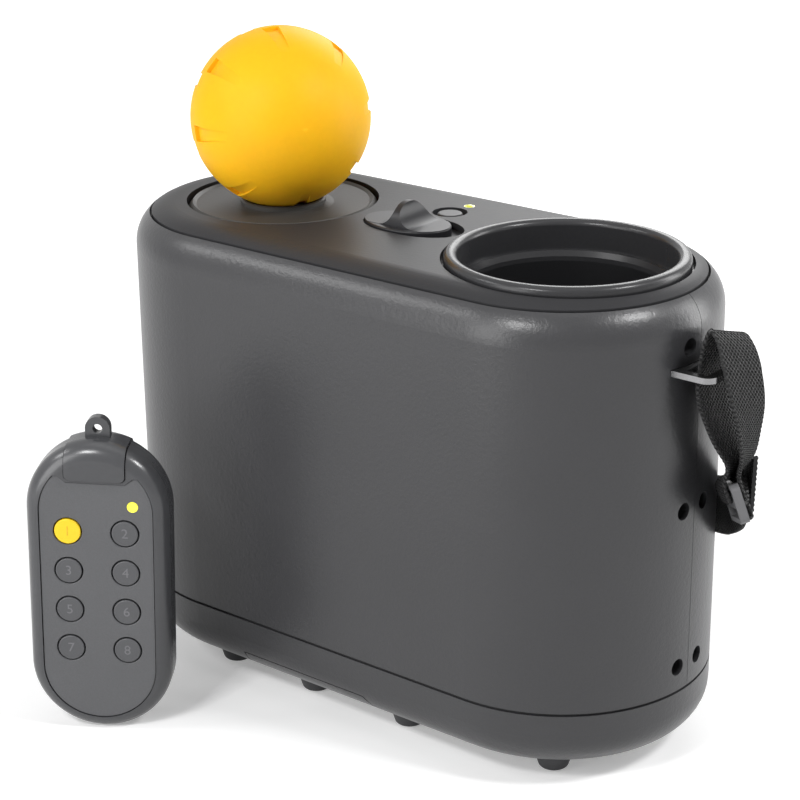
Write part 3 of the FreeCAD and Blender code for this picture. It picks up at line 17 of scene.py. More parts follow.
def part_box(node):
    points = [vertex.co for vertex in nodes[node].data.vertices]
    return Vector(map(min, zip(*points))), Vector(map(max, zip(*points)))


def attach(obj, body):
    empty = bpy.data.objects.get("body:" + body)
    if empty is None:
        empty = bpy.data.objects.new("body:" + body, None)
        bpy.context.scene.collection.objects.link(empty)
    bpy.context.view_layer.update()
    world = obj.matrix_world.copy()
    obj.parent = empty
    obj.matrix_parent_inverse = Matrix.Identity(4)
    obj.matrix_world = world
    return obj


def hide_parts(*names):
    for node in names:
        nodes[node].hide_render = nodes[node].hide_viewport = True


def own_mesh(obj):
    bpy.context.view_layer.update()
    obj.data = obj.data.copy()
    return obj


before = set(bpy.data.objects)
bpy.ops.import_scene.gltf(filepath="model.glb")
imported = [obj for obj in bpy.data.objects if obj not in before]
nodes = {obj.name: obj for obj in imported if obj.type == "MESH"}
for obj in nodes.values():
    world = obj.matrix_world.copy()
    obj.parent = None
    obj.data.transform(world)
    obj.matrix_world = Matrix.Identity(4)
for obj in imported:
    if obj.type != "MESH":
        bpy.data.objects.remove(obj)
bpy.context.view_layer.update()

# %% [markdown]
# ## The camera
# A product photographer stands back and uses a long lens, so that upright edges stay nearly
# parallel. The camera here has a 99 mm lens on a 36 mm sensor, and it looks down by about 21
# degrees from a place to the right of the front. We could aim it with a constraint, but writing
# its three directions down keeps the tiny roll of the picture as well.

# %% Place the camera
CAMERA_AZIMUTH = math.radians(38.5588)
CAMERA_ELEVATION = math.radians(20.7400)
CAMERA_ROLL = math.radians(-0.5146)
CAMERA_PLACE = Vector((0.455416, -0.581609, 0.386405))
CAMERA_LENS = 99.0
SENSOR_WIDTH = 36.0
FAR_CLIP = 20.0


def add_object(name, data):
    """New object in the scene's own collection."""
    thing = bpy.data.objects.new(name, data)
    bpy.context.scene.collection.objects.link(thing)
    return thing


def aim_camera():
    """Makes the portrait camera and returns its object."""
    sideways = Vector((math.cos(CAMERA_AZIMUTH), math.sin(CAMERA_AZIMUTH), 0))
    backwards = Vector((math.sin(CAMERA_AZIMUTH) * math.cos(CAMERA_ELEVATION),
                        -math.cos(CAMERA_AZIMUTH) * math.cos(CAMERA_ELEVATION),
                        math.sin(CAMERA_ELEVATION)))
    upwards = backwards.cross(sideways)
    right = sideways * math.cos(CAMERA_ROLL) + upwards * math.sin(CAMERA_ROLL)
    up = upwards * math.cos(CAMERA_ROLL) - sideways * math.sin(CAMERA_ROLL)
    data = bpy.data.cameras.new("portrait_camera")
    data.lens = CAMERA_LENS
    data.sensor_width = SENSOR_WIDTH
    data.clip_end = FAR_CLIP
    camera = add_object("portrait_camera", data)
    turn = Matrix((right, up, backwards)).transposed().to_4x4()
    camera.matrix_world = Matrix.Translation(CAMERA_PLACE) @ turn
    bpy.context.scene.camera = camera
    return camera


print("camera at", [round(v, 3) for v in aim_camera().location])

# %% [markdown]
# ## Surface effects that several materials share
# A moulded plastic part carries the fine grain that was etched into its mould, webbing shows its
# weave, and metal shows the lines of its last grinding. Each effect is a node group with named
# inputs, built once and placed in every material that needs it. A group gives out only numbers:
# a height for the Bump node and a shade that multiplies the colour. Mostly that shade makes the
# colour a little uneven. The weave's shade is also a painted highlight and painted shade on its
# humps, and the wells' shade is painted shade. The Principled shader stays in each material,
# where its values are easy to find.

# %% A helper that starts a node group
def effect_group(name, inputs, outputs):
    """New shader group with float sockets; returns the group, its input and its output node."""
    group = bpy.data.node_groups.new(name, "ShaderNodeTree")
    for label, value in inputs:
        socket = group.interface.new_socket(label, in_out="INPUT", socket_type="NodeSocketFloat")
        socket.default_value = value
    for label in outputs:
        group.interface.new_socket(label, in_out="OUTPUT", socket_type="NodeSocketFloat")
    return group, group.nodes.new("NodeGroupInput"), group.nodes.new("NodeGroupOutput")


def math_node(tree, operation, first, second=None):
    """Math node; each of its two values is a number or a socket."""
    node = tree.nodes.new("ShaderNodeMath")
    node.operation = operation
    for socket, value in zip(node.inputs, (first, second)):
        if value is None:
            continue
        if isinstance(value, (int, float)):
            socket.default_value = value
        else:
            tree.links.new(value, socket)
    return node.outputs[0]


def noise_node(tree, place, scale, detail=2.0, roughness=0.55):
    """Noise texture at a place; scale is a number or a socket."""
    node = tree.nodes.new("ShaderNodeTexNoise")
    node.inputs["Detail"].default_value = detail
    node.inputs["Roughness"].default_value = roughness
    tree.links.new(place, node.inputs["Vector"])
    if isinstance(scale, (int, float)):
        node.inputs["Scale"].default_value = scale
    else:
        tree.links.new(scale, node.inputs["Scale"])
    return node.outputs["Fac"]


print("helpers ready")

# %% [markdown]
# Moulded grain is a fine, even leather-like roughness. We mix two noises: a sharp one for the
# grain itself and a slow one, a few centimetres wide, that stands for the slight unevenness of
# handling and moulding. Object coordinates are metres in the row frame, so a grain keeps its real
# size on every part.

# %% Group: moulded grain
def make_moulded_grain():
    tree, given, result = effect_group(
        "moulded_grain", (("Grain Scale", 1500.0), ("Unevenness", 0.1)), ("Height", "Shade"))
    place = tree.nodes.new("ShaderNodeTexCoord").outputs["Object"]
    fine = noise_node(tree, place, given.outputs["Grain Scale"], 1.5, 0.6)
    cell = tree.nodes.new("ShaderNodeTexVoronoi")
    cell.feature = "SMOOTH_F1"
    tree.links.new(place, cell.inputs["Vector"])
    tree.links.new(math_node(tree, "MULTIPLY", given.outputs["Grain Scale"], 0.45), cell.inputs["Scale"])
    height = math_node(tree, "ADD", fine, math_node(tree, "MULTIPLY", cell.outputs["Distance"], 0.8))
    tree.links.new(height, result.inputs["Height"])
    slow = noise_node(tree, place, 22.0, 3.0)
    swing, speck = (math_node(tree, "MULTIPLY", math_node(tree, "SUBTRACT", noise, 0.5),
                              given.outputs["Unevenness"]) for noise in (slow, fine))
    shade = math_node(tree, "ADD", math_node(tree, "ADD", swing, speck), 1.0)
    tree.links.new(shade, result.inputs["Shade"])
    return tree


moulded_grain = make_moulded_grain()
print("group:", moulded_grain.name)

# %% [markdown]
# Ground or brushed metal has long fine lines. Stretching the coordinates before a noise texture
# draws it out into streaks, which is cheaper and steadier than an image of scratches.

# %% Group: brushed lines
def make_brushed_lines():
    tree, given, result = effect_group("brushed_lines", (("Line Scale", 900.0),), ("Height", "Shade"))
    place = tree.nodes.new("ShaderNodeTexCoord").outputs["Object"]
    stretch = tree.nodes.new("ShaderNodeMapping")
    stretch.inputs["Scale"].default_value = (1.0, 0.04, 1.0)
    tree.links.new(place, stretch.inputs["Vector"])
    lines = noise_node(tree, stretch.outputs["Vector"], given.outputs["Line Scale"], 3.0, 0.7)
    tree.links.new(lines, result.inputs["Height"])
    shade = math_node(tree, "ADD", math_node(tree, "MULTIPLY", lines, 0.3), 0.85)
    tree.links.new(shade, result.inputs["Shade"])
    return tree


brushed_lines = make_brushed_lines()
print("group:", brushed_lines.name)

# %% [markdown]
# Webbing is woven from thick nylon yarn: each yarn dives under its neighbour, so the face is a
# chequer of small humps, and each hump catches the light. The band's UV map is in millimetres,
# across and along, so two cosines multiplied give that chequer at its real pitch. The chequer
# bumps the surface. It also lightens the colour on each hump and darkens it between them, which
# is a painted highlight and painted shade, over a random tone along the fibres.

# %% Group: webbing weave
WEAVE_PITCH = 1.9


def make_webbing_weave():
    tree, given, result = effect_group("webbing_weave_and_painted_light", (("Pitch", WEAVE_PITCH),), ("Height", "Shade"))
    place = tree.nodes.new("ShaderNodeUVMap")
    place.uv_map = "UVMap"
    split = tree.nodes.new("ShaderNodeSeparateXYZ")
    tree.links.new(place.outputs["UV"], split.inputs["Vector"])
    waves = []
    for axis in ("X", "Y"):
        turns = math_node(tree, "DIVIDE", split.outputs[axis], given.outputs["Pitch"])
        waves.append(math_node(tree, "COSINE", math_node(tree, "MULTIPLY", turns, math.tau)))
    chequer = math_node(tree, "MULTIPLY", waves[0], waves[1])
    fibre = noise_node(tree, place.outputs["UV"], 6.0, 3.0, 0.7)
    height = math_node(tree, "ADD", chequer, math_node(tree, "MULTIPLY", fibre, 0.8))
    tree.links.new(height, result.inputs["Height"])
    # Painted highlight on each hump and painted shade between them, in the colour.
    shade = math_node(tree, "ADD", math_node(tree, "MULTIPLY", chequer, 0.5), 1.0)
    worn = math_node(tree, "ADD", math_node(tree, "MULTIPLY", fibre, 0.9), 0.55)
    tree.links.new(math_node(tree, "MULTIPLY", shade, worn), result.inputs["Shade"])
    return tree


webbing_weave_and_painted_light = make_webbing_weave()
print("group:", webbing_weave_and_painted_light.name)

# %% [markdown]
# The screw wells of the casing are deep and narrow, so hardly any light comes back out of them,
# and this group paints that shade into the casing's colour. A mask tells how far a point lies
# behind the casing's outer wall, which in plan is a racetrack: the distance to the line between
# the two end centres, less the end radius. Past a given depth the colour darkens, down to a given
# darkest share: painted shade. It works only between the tub's and the top's roundings, where
# that wall is upright. The named lengths are millimetres.

# %% Group: painted shade in the screw wells
HALF_CENTRES = 61.5
END_RADIUS = 54.2
WALL_LOW = 22.0
WALL_HIGH = 150.0


def make_well_shade():
    tree, given, result = effect_group("painted_well_shade", (("Depth", 0.9), ("Darkest", 0.12)), ("Shade",))
    split = tree.nodes.new("ShaderNodeSeparateXYZ")
    tree.links.new(tree.nodes.new("ShaderNodeTexCoord").outputs["Object"], split.inputs["Vector"])
    past = math_node(tree, "SUBTRACT", math_node(tree, "ABSOLUTE", split.outputs["X"]), HALF_CENTRES / 1000)
    past = math_node(tree, "MAXIMUM", past, 0.0)
    squares = [math_node(tree, "MULTIPLY", value, value) for value in (past, split.outputs["Y"])]
    reach = math_node(tree, "SQRT", math_node(tree, "ADD", *squares))
    behind = math_node(tree, "SUBTRACT", END_RADIUS / 1000, reach)
    deep = math_node(tree, "DIVIDE", behind, math_node(tree, "DIVIDE", given.outputs["Depth"], 1000.0))
    deep = math_node(tree, "MAXIMUM", math_node(tree, "SUBTRACT", deep, 1.0), 0.0)
    deep = math_node(tree, "MINIMUM", deep, 1.0)
    upright = math_node(tree, "MULTIPLY", math_node(tree, "LESS_THAN", split.outputs["Z"], WALL_HIGH / 1000),
                        math_node(tree, "GREATER_THAN", split.outputs["Z"], WALL_LOW / 1000))
    deep = math_node(tree, "MULTIPLY", deep, upright)
    dimming = math_node(tree, "MULTIPLY", deep, math_node(tree, "SUBTRACT", 1.0, given.outputs["Darkest"]))
    tree.links.new(math_node(tree, "SUBTRACT", 1.0, dimming), result.inputs["Shade"])
    return tree


painted_well_shade = make_well_shade()
print("group:", painted_well_shade.name)

# %% [markdown]
# ## Finishes
# One helper places an effect group in a new material: its shade multiplies the colour, and its
# height goes through a Bump node into the normal. Roughness, coat and the rest are written
# straight on the Principled shader.

# %% A helper that makes a finish
def finish(name, colour, roughness, effect=moulded_grain, values=(), bump=0.0, depth=0.0001, **sockets):
    """Material with one effect group; sockets are further Principled values by name."""
    material = bpy.data.materials.new(name)
    material.use_nodes = True
    tree = material.node_tree
    shader = tree.nodes["Principled BSDF"]
    shader.inputs["Roughness"].default_value = roughness
    for label, value in sockets.items():
        shader.inputs[label.replace("_", " ")].default_value = value
    group = tree.nodes.new("ShaderNodeGroup")
    group.node_tree = effect
    for label, value in values:
        group.inputs[label].default_value = value
    tint = tree.nodes.new("ShaderNodeVectorMath")
    tint.operation = "SCALE"
    tint.inputs[0].default_value = colour
    tree.links.new(group.outputs["Shade"], tint.inputs["Scale"])
    tree.links.new(tint.outputs["Vector"], shader.inputs["Base Color"])
    if bump:
        node = tree.nodes.new("ShaderNodeBump")
        node.inputs["Strength"].default_value = bump
        node.inputs["Distance"].default_value = depth
        tree.links.new(group.outputs["Height"], node.inputs["Height"])
        tree.links.new(node.outputs["Normal"], shader.inputs["Normal"])
    return material


print("finish helper ready")

# %% [markdown]
# The casing is a dark grey moulded plastic with a fine grain. The top cover is the same plastic
# with a darker colour, a finer grain and a rougher, weaker reflection. The parts that hands touch
# are nearly black and smoother, and the ring round the tube is polished.

# %% Plastics of the launcher
casing_grey = finish("casing_grey", (0.034, 0.034, 0.0365), 0.32, bump=0.5, depth=0.00012,
                     values=(("Grain Scale", 1500.0), ("Unevenness", 0.22)), Specular_IOR_Level=0.45)
cover_grey = finish("cover_grey", (0.028, 0.028, 0.030), 0.42, bump=0.22, depth=0.0001,
                    values=(("Grain Scale", 1900.0), ("Unevenness", 0.12)), Specular_IOR_Level=0.15)
satin_black = finish("satin_black", (0.014, 0.014, 0.016), 0.36, bump=0.08, depth=0.00005,
                     values=(("Grain Scale", 2400.0), ("Unevenness", 0.2)), Specular_IOR_Level=0.25)
rest_black = finish("rest_black", (0.045, 0.043, 0.040), 0.45, bump=0.2, depth=0.0001,
                    values=(("Grain Scale", 1800.0), ("Unevenness", 0.15)), Specular_IOR_Level=0.25)
ring_black = finish("ring_black", (0.030, 0.030, 0.032), 0.27, bump=0.04, depth=0.00003,
                    values=(("Grain Scale", 900.0), ("Unevenness", 0.2)), Specular_IOR_Level=0.3)
tube_black = finish("tube_black", (0.008, 0.008, 0.009), 0.38, bump=0.05, depth=0.00005,
                    values=(("Grain Scale", 900.0), ("Unevenness", 0.3)))
seal_black = finish("seal_black", (0.012, 0.012, 0.013), 0.6, bump=0.1, depth=0.00005,
                    values=(("Grain Scale", 2500.0), ("Unevenness", 0.2)))


def darken(material, effect):
    """Multiplies a finish's colour by the Shade of one more effect group."""
    tree = material.node_tree
    tint = next(node for node in tree.nodes if node.type == "VECT_MATH")
    shader = tree.nodes["Principled BSDF"]
    group = tree.nodes.new("ShaderNodeGroup")
    group.node_tree = effect
    again = tree.nodes.new("ShaderNodeVectorMath")
    again.operation = "SCALE"
    tree.links.new(tint.outputs["Vector"], again.inputs[0])
    tree.links.new(group.outputs["Shade"], again.inputs["Scale"])
    tree.links.new(again.outputs["Vector"], shader.inputs["Base Color"])


# The casing's colour is darkened inside its screw wells: painted shade.
darken(casing_grey, painted_well_shade)
print("launcher plastics:", 7)

# %% [markdown]
# The remote's face plate has a fine matt grain like the casing's, while its rounded sides and its
# cap are glossy. One key is bright yellow.

# %% Plastics of the remote
handset_gloss = finish("handset_gloss", (0.052, 0.053, 0.057), 0.24, bump=0.03, depth=0.00003,
                       values=(("Grain Scale", 400.0), ("Unevenness", 0.15)))
handset_face = finish("handset_face", (0.088, 0.089, 0.094), 0.47, bump=0.4, depth=0.00012,
                      values=(("Grain Scale", 1700.0), ("Unevenness", 0.25)))
key_grey = finish("key_grey", (0.072, 0.073, 0.078), 0.42, bump=0.15, depth=0.00008,
                  values=(("Grain Scale", 2200.0), ("Unevenness", 0.2)))
key_yellow = finish("key_yellow", (0.93, 0.62, 0.01), 0.4, bump=0.1, depth=0.00006,
                    values=(("Grain Scale", 2200.0), ("Unevenness", 0.08)))
number_grey = finish("number_grey", (0.15, 0.15, 0.16), 0.5, bump=0.1, depth=0.00004,
                     values=(("Grain Scale", 2500.0), ("Unevenness", 0.15)))
number_amber = finish("number_amber", (0.74, 0.45, 0.01), 0.5, bump=0.1, depth=0.00004,
                      values=(("Grain Scale", 2500.0), ("Unevenness", 0.15)))
print("remote plastics:", 6)

# %% [markdown]
# Rubber, steel and the parts inside. The feet are matt black rubber. The strap's loop is bright
# ground steel, and so are the screws, though little light reaches them in their wells. The ball
# is a translucent amber rubber: light goes in, scatters and comes out warmer, which Principled's
# subsurface does. Scattering needs a radius for each colour, and red light travels furthest.

# %% Rubber, metal, ball and inner parts
foot_rubber = finish("foot_rubber", (0.035, 0.035, 0.038), 0.62, bump=0.25, depth=0.0001,
                     values=(("Grain Scale", 1300.0), ("Unevenness", 0.25)))
loop_steel = finish("loop_steel", (0.24, 0.24, 0.245), 0.26, effect=brushed_lines, bump=0.06, depth=0.00004,
                    values=(("Line Scale", 1400.0),), Metallic=1.0)
screw_steel = finish("screw_steel", (0.36, 0.36, 0.37), 0.22, effect=brushed_lines, bump=0.06, depth=0.00004,
                     values=(("Line Scale", 2200.0),), Metallic=1.0)
spring_steel = finish("spring_steel", (0.42, 0.42, 0.43), 0.3, effect=brushed_lines, bump=0.05, depth=0.00004,
                      values=(("Line Scale", 1500.0),), Metallic=1.0)
contact_brass = finish("contact_brass", (0.62, 0.45, 0.2), 0.3, effect=brushed_lines, bump=0.05,
                       depth=0.00004, values=(("Line Scale", 1500.0),), Metallic=1.0)
ball_amber = finish("ball_amber", (0.90, 0.47, 0.012), 0.5, bump=0.05, depth=0.0001,
                    values=(("Grain Scale", 500.0), ("Unevenness", 0.07)),
                    Subsurface_Weight=0.2, Subsurface_Radius=(0.010, 0.004, 0.0006), Subsurface_Scale=1.0,
                    Specular_IOR_Level=0.12)
board_green = finish("board_green", (0.012, 0.10, 0.035), 0.4, bump=0.1, depth=0.00005,
                     values=(("Grain Scale", 600.0), ("Unevenness", 0.4)))
servo_blue = finish("servo_blue", (0.02, 0.025, 0.05), 0.35, bump=0.06, depth=0.00005,
                    values=(("Grain Scale", 1200.0), ("Unevenness", 0.2)))
battery_wrap = finish("battery_wrap", (0.03, 0.06, 0.2), 0.25, bump=0.06, depth=0.00005,
                      values=(("Grain Scale", 700.0), ("Unevenness", 0.2)))
webbing_black = finish("webbing_black", (0.012, 0.012, 0.013), 0.66, effect=webbing_weave_and_painted_light, bump=0.9,
                       depth=0.35, Sheen_Weight=0.12, Sheen_Roughness=0.4, Specular_IOR_Level=0.3)
buckle_grey = finish("buckle_grey", (0.13, 0.13, 0.135), 0.45, bump=0.15, depth=0.0001,
                     values=(("Grain Scale", 1500.0), ("Unevenness", 0.15)))
print("other finishes:", 11)

# %% [markdown]
# The two indicator lenses glow. A lamp behind a clear yellow-green plastic looks brighter than
# anything the room lights, so these get some emission of their own.

# %% Glowing lenses
def glowing(name, colour, glow, strength):
    """Clear-topped plastic that gives out light of its own."""
    return finish(name, colour, 0.2, bump=0.03, depth=0.00003,
                  values=(("Grain Scale", 800.0), ("Unevenness", 0.1)),
                  Emission_Color=(*glow, 1.0), Emission_Strength=strength, Coat_Weight=0.5)


lens_lime = glowing("lens_lime", (0.55, 0.58, 0.03), (0.60, 0.62, 0.02), 0.3)
lens_lit = glowing("lens_lit", (0.80, 0.78, 0.05), (0.90, 0.82, 0.05), 0.55)
print("lenses:", lens_lime.name, lens_lit.name)

# %% [markdown]
# ## Dressing the CAD nodes
# Each node keeps its mesh, and only its material slots change. A table of finish to nodes is
# easier to read and check than a line for each node, and the last line proves that none is left.

# %% Give every node its finish
DRESS = (
    (casing_grey, "front_shell rear_shell base_tub battery_door"),
    (cover_grey, "top_cover"),
    (rest_black, "ball_rest"),
    (satin_black, "mode_slider power_button end_post_right end_post_left servo_mount"),
    (satin_black, "mode_switch power_switch"),
    (ring_black, "launch_collar"),
    (tube_black, "launch_tube tube_floor plunger antenna"),
    (seal_black, "base_seal"),
    (handset_gloss, "handset_front handset_back handset_cap"),
    (handset_face, "handset_panel"),
    (key_yellow, "handset_key_1"),
    (key_grey, " ".join(f"handset_key_{i}" for i in range(2, 9))),
    (foot_rubber, "feet door_foot"),
    (loop_steel, "strap_loop_right strap_loop_left handset_cell"),
    (screw_steel, "shell_screws base_screws handset_screws latch_pin"),
    (spring_steel, "launch_spring latch_lever servo_pinion"),
    (contact_brass, "battery_contacts"),
    (ball_amber, "ball"),
    (board_green, "main_board control_board handset_board"),
    (servo_blue, "release_servo"),
    (battery_wrap, "battery_pack"),
    (webbing_black, "strap_end_loop strap_run strap_tail"),
    (buckle_grey, "strap_adjuster"),
    (lens_lime, "light_lens"),
    (lens_lit, "handset_light"),
)
dressed = set()
for material, names in DRESS:
    for name in names.split():
        mesh = nodes[name].data
        mesh.materials.clear()
        mesh.materials.append(material)
        dressed.add(name)
print("dressed", len(dressed), "of", len(nodes), "nodes; left:", sorted(set(nodes) - dressed))

# %% [markdown]
# ## The strap
# The strap is nylon webbing, 21 mm wide. It is threaded up through the steel loop, folded over
# its bar and brought down to a buckle, and from there it runs behind the casing. Cloth simulation
# would wipe out such a narrow firm band, so it is built directly: pairs of edge points say where
# the band is and how it twists, a smooth curve runs through both edges, and a cross-section with
# rounded edges is swept between them. The end loop's stations are set to about half a millimetre:
# the rising layer keeps inside the loop's slot, the falling one clears the bar on its outer side,
# and both turn the way the photo shows on the way to the buckle.

# %% Points along the strap, in millimetres
STRAP_WIDTH = 21.0
STRAP_THICKNESS = 1.7
LOOP_HEIGHT = 146.0
LOOP_SLOT = 121.6
BUCKLE = Vector((LOOP_SLOT + 3.6, 10.0, LOOP_HEIGHT - 49.9))
BUCKLE_ACROSS = Vector((-0.56, 0.75, -0.35)).normalized()
BUCKLE_ALONG = Vector((0.38, 0.0, -0.92))
BUCKLE_ALONG = (BUCKLE_ALONG - BUCKLE_ACROSS * BUCKLE_ALONG.dot(BUCKLE_ACROSS)).normalized()
BUCKLE_OUT = BUCKLE_ALONG.cross(BUCKLE_ACROSS).normalized()
BESIDE = BUCKLE_OUT * 2.5


def station(middle, across):
    """Two edge points, half the strap's width each way from the middle."""
    half = Vector(across).normalized() * STRAP_WIDTH / 2
    return Vector(middle) - half, Vector(middle) + half


def loop_stations():
    """Up the inside, over the bar and down the outside, from buckle to buckle."""
    x, z = LOOP_SLOT, LOOP_HEIGHT
    lower, upper = BUCKLE - BUCKLE_ALONG * 0.8, BUCKLE - BUCKLE_ALONG * 7.4
    rising = [((x + 4, 8, z - 36), (-0.2, 0.9, -0.3)), ((x + 2, 4.5, z - 25), (0, 1, -0.2)),
              ((x - 1.5, 1, z - 10), (0, 1, -0.05)), ((x - 0.5, 0, z + 2), (0, 1, 0))]
    crest = [((x + 1, 0, z + 8), (0.05, 1, -0.1)), ((x + 3.5, 0, z + 12), (0.1, 1, -0.3)),
             ((x + 6.5, 0, z + 9), (0.1, 1, -0.3))]
    falling = [((x + 8.5, 0, z + 4), (0.1, 1, -0.2)), ((x + 10, 0, z - 1), (0.1, 1, -0.2)),
               ((x + 11.5, 1, z - 10), (0.05, 1, -0.25)), ((x + 11, 4, z - 21), (-0.15, 1, -0.25)),
               ((x + 8.5, 7.5, z - 32), (-0.3, 0.9, -0.3))]
    steps = rising + crest + falling
    first = [station(lower - BESIDE, BUCKLE_ACROSS), station(upper - BESIDE, BUCKLE_ACROSS)]
    last = [station(upper + BESIDE, BUCKLE_ACROSS), station(lower + BESIDE, BUCKLE_ACROSS)]
    return first + [station(*step) for step in steps] + last


print("strap's end loop:", len(loop_stations()), "stations")

# %% [markdown]
# Behind the casing the strap stands on edge, a few millimetres off the wall, and climbs to a
# second loop at the other end. Its loose end lies outside it and stands out past the buckle.

# %% Points of the long run and of the loose end
RUN_RADIUS = END_RADIUS + 3.4
LEFT_LOOP_TURN = -19.0
LOW_DROP = 78
TAIL_END = 128.6


def beside_end(middle_x, degrees, distance, z):
    """Point round a half-round end of the casing."""
    angle = math.radians(degrees)
    return Vector((middle_x + distance * math.cos(angle), distance * math.sin(angle), z))


def run_stations():
    """From the buckle round the back to the left loop and over its bar."""
    upright = (0, 0, 1)
    turning = BUCKLE_ACROSS * STRAP_WIDTH - BUCKLE_ALONG * 3.0 + BUCKLE_OUT * 0.8
    behind = BUCKLE + BUCKLE_ALONG * 9.0 + BUCKLE_OUT * 1.4 + BUCKLE_ACROSS * 15.0
    stations = [station(BUCKLE + BUCKLE_ALONG * 0.8 + BESIDE, BUCKLE_ACROSS),
                station(BUCKLE + BUCKLE_ALONG * 3.5 + BUCKLE_OUT * 3.2, turning),
                station(behind + Vector((-1.0, 1.2, STRAP_WIDTH / 2)), (-0.10, 0.12, 1.0))]
    for degrees, away, drop in ((30, 1.9, 60.5), (40, 0.6, 65.5), (52, 0, 70), (64, 0, 73), (78, 0, 76),
                                (90, 0, LOW_DROP)):
        place = beside_end(HALF_CENTRES, degrees, RUN_RADIUS + away, LOOP_HEIGHT - drop)
        stations.append(station(place, upright))
    low = LOOP_HEIGHT - LOW_DROP
    for share in (0.2, 0.4, 0.6, 0.8):
        place = (HALF_CENTRES * (1 - 2 * share), RUN_RADIUS, low - 28 * share * (1 - share) + 20 * share)
        stations.append(station(place, upright))
    for degrees, rise in ((90, 20), (104, 26), (118, 34), (130, 44)):
        stations.append(station(beside_end(-HALF_CENTRES, degrees, RUN_RADIUS, low + rise), upright))
    radial = beside_end(0, 180 + LEFT_LOOP_TURN, 1, 0)
    tangent = Vector((-radial.y, radial.x, 0))
    slot = LOOP_SLOT - HALF_CENTRES
    over = Vector((-HALF_CENTRES, 0, LOOP_HEIGHT)) + radial * slot
    near = over - radial * (slot - END_RADIUS - 6.0) - tangent * 12 - Vector((0, 0, 24))
    stations.append(station(near, tangent * -0.5 + Vector((0, 0, 0.87))))
    stations.append(station(over - tangent * 3 - Vector((0, 0, 12)), tangent * -1 + Vector((0, 0, 0.4))))
    for away, rise in ((0, 0), (0.9, 6), (4.8, 9), (8.4, 5.5), (9.2, -6), (8.0, -24)):
        stations.append(station(over + radial * away + Vector((0, 0, rise)), tangent * -1))
    return stations


def tail_stations():
    """The loose end, from under the buckle out to its cut edge."""
    off = RUN_RADIUS + STRAP_THICKNESS + 0.15
    return [station(beside_end(HALF_CENTRES, 46, off + 0.9, LOOP_HEIGHT - 66.5), (0, 0, 1)),
            station(beside_end(HALF_CENTRES, 34, off + 1.9, LOOP_HEIGHT - 60.0), (0, 0, 1)),
            station((TAIL_END - 6.6, 24.2, LOOP_HEIGHT - 50.0), (0.02, 0, 1)),
            station((TAIL_END - 2.4, 20.4, LOOP_HEIGHT - 46.8), (0.03, 0, 1))]


print("run and loose end:", len(run_stations()), "and", len(tail_stations()), "stations")

# %% [markdown]
# A Catmull-Rom curve goes through every point it is given, which suits a band whose edges are
# set out point by point. The band's mesh is a closed tube of a flat rounded section; on the faces that show
# best, each vertex is also lifted by the chequer of the weave, so the humps stand out at the
# edge as they do on real webbing.

# %% Build a woven band
def smooth_points(points, step):
    """Catmull-Rom points through the given ones, about step apart."""
    ends = [points[0] * 2 - points[1]] + list(points) + [points[-1] * 2 - points[-2]]
    result = []
    for i in range(1, len(ends) - 2):
        a, b, c, d = ends[i - 1:i + 3]
        count = max(2, round((c - b).length / step))
        for k in range(count):
            t = k / count
            result.append(0.5 * (2 * b + (c - a) * t + (2 * a - 5 * b + 4 * c - d) * t * t
                                 + (3 * b - a - 3 * c + d) * t ** 3))
    result.append(points[-1].copy())
    return result


def band_section(columns):
    """(across, out) places round the band's section, across from -1 to 1 and out from -1 to 1."""
    face = [(-0.93 + 1.86 * i / columns, 1.0) for i in range(columns + 1)]
    edge = [(0.98, 0.62), (1.0, 0.0), (0.98, -0.62)]
    return face + edge + [(-a, -o) for a, o in face] + [(-a, -o) for a, o in edge]


def woven_band(name, stations, step, columns, relief):
    """Closed mesh of webbing through the stations, in metres, with a UV map in millimetres."""
    pairs = [smooth_points(line, 1.0) for line in ([s[0] for s in stations], [s[1] for s in stations])]
    count = min(len(pairs[0]), len(pairs[1]))
    rows = max(count, round(count / step))
    section = band_section(columns)
    mesh = bmesh.new()
    rings, travel, lengths, previous = [], 0.0, [], None
    for i in range(rows):
        t = i / (rows - 1)
        near, far = (line_at(line, t) for line in pairs)
        ahead = [line_at(line, min(1.0, t + 0.002)) for line in pairs]
        back = [line_at(line, max(0.0, t - 0.002)) for line in pairs]
        middle, across = (near + far) / 2, (far - near).normalized()
        along = ((ahead[0] + ahead[1]) - (back[0] + back[1])).normalized()
        out = along.cross(across).normalized()
        travel += (middle - previous).length if previous else 0.0
        previous = middle
        lengths.append(travel)
        ring = []
        for a, o in section:
            hump = math.cos(math.tau * a * STRAP_WIDTH / 2 / WEAVE_PITCH)
            hump = hump * math.cos(math.tau * travel / WEAVE_PITCH)
            lift = o * (STRAP_THICKNESS / 2 - relief + (relief * hump if abs(o) > 0.9 else 0.0))
            ring.append(mesh.verts.new((middle + across * a * STRAP_WIDTH / 2 + out * lift) / 1000))
        rings.append(ring)
    layer = mesh.loops.layers.uv.new("UVMap")
    size = len(section)
    for i in range(rows - 1):
        for k in range(size):
            corners = (rings[i][k], rings[i][(k + 1) % size], rings[i + 1][(k + 1) % size], rings[i + 1][k])
            face = mesh.faces.new(corners)
            face.smooth = True
            left, right = section[k][0], section[(k + 1) % size][0]
            places = ((left, i), (right, i), (right, i + 1), (left, i + 1))
            for loop, (u, row) in zip(face.loops, places):
                loop[layer].uv = (u * STRAP_WIDTH / 2, lengths[row])
    mesh.faces.new(list(reversed(rings[0])))
    mesh.faces.new(rings[-1])
    bmesh.ops.recalc_face_normals(mesh, faces=mesh.faces[:])
    data = bpy.data.meshes.new(name)
    mesh.to_mesh(data)
    mesh.free()
    data.materials.append(webbing_black)
    band = add_object(name, data)
    print(f"{name}: {travel:.0f} mm long, {len(data.vertices)} vertices")
    return band


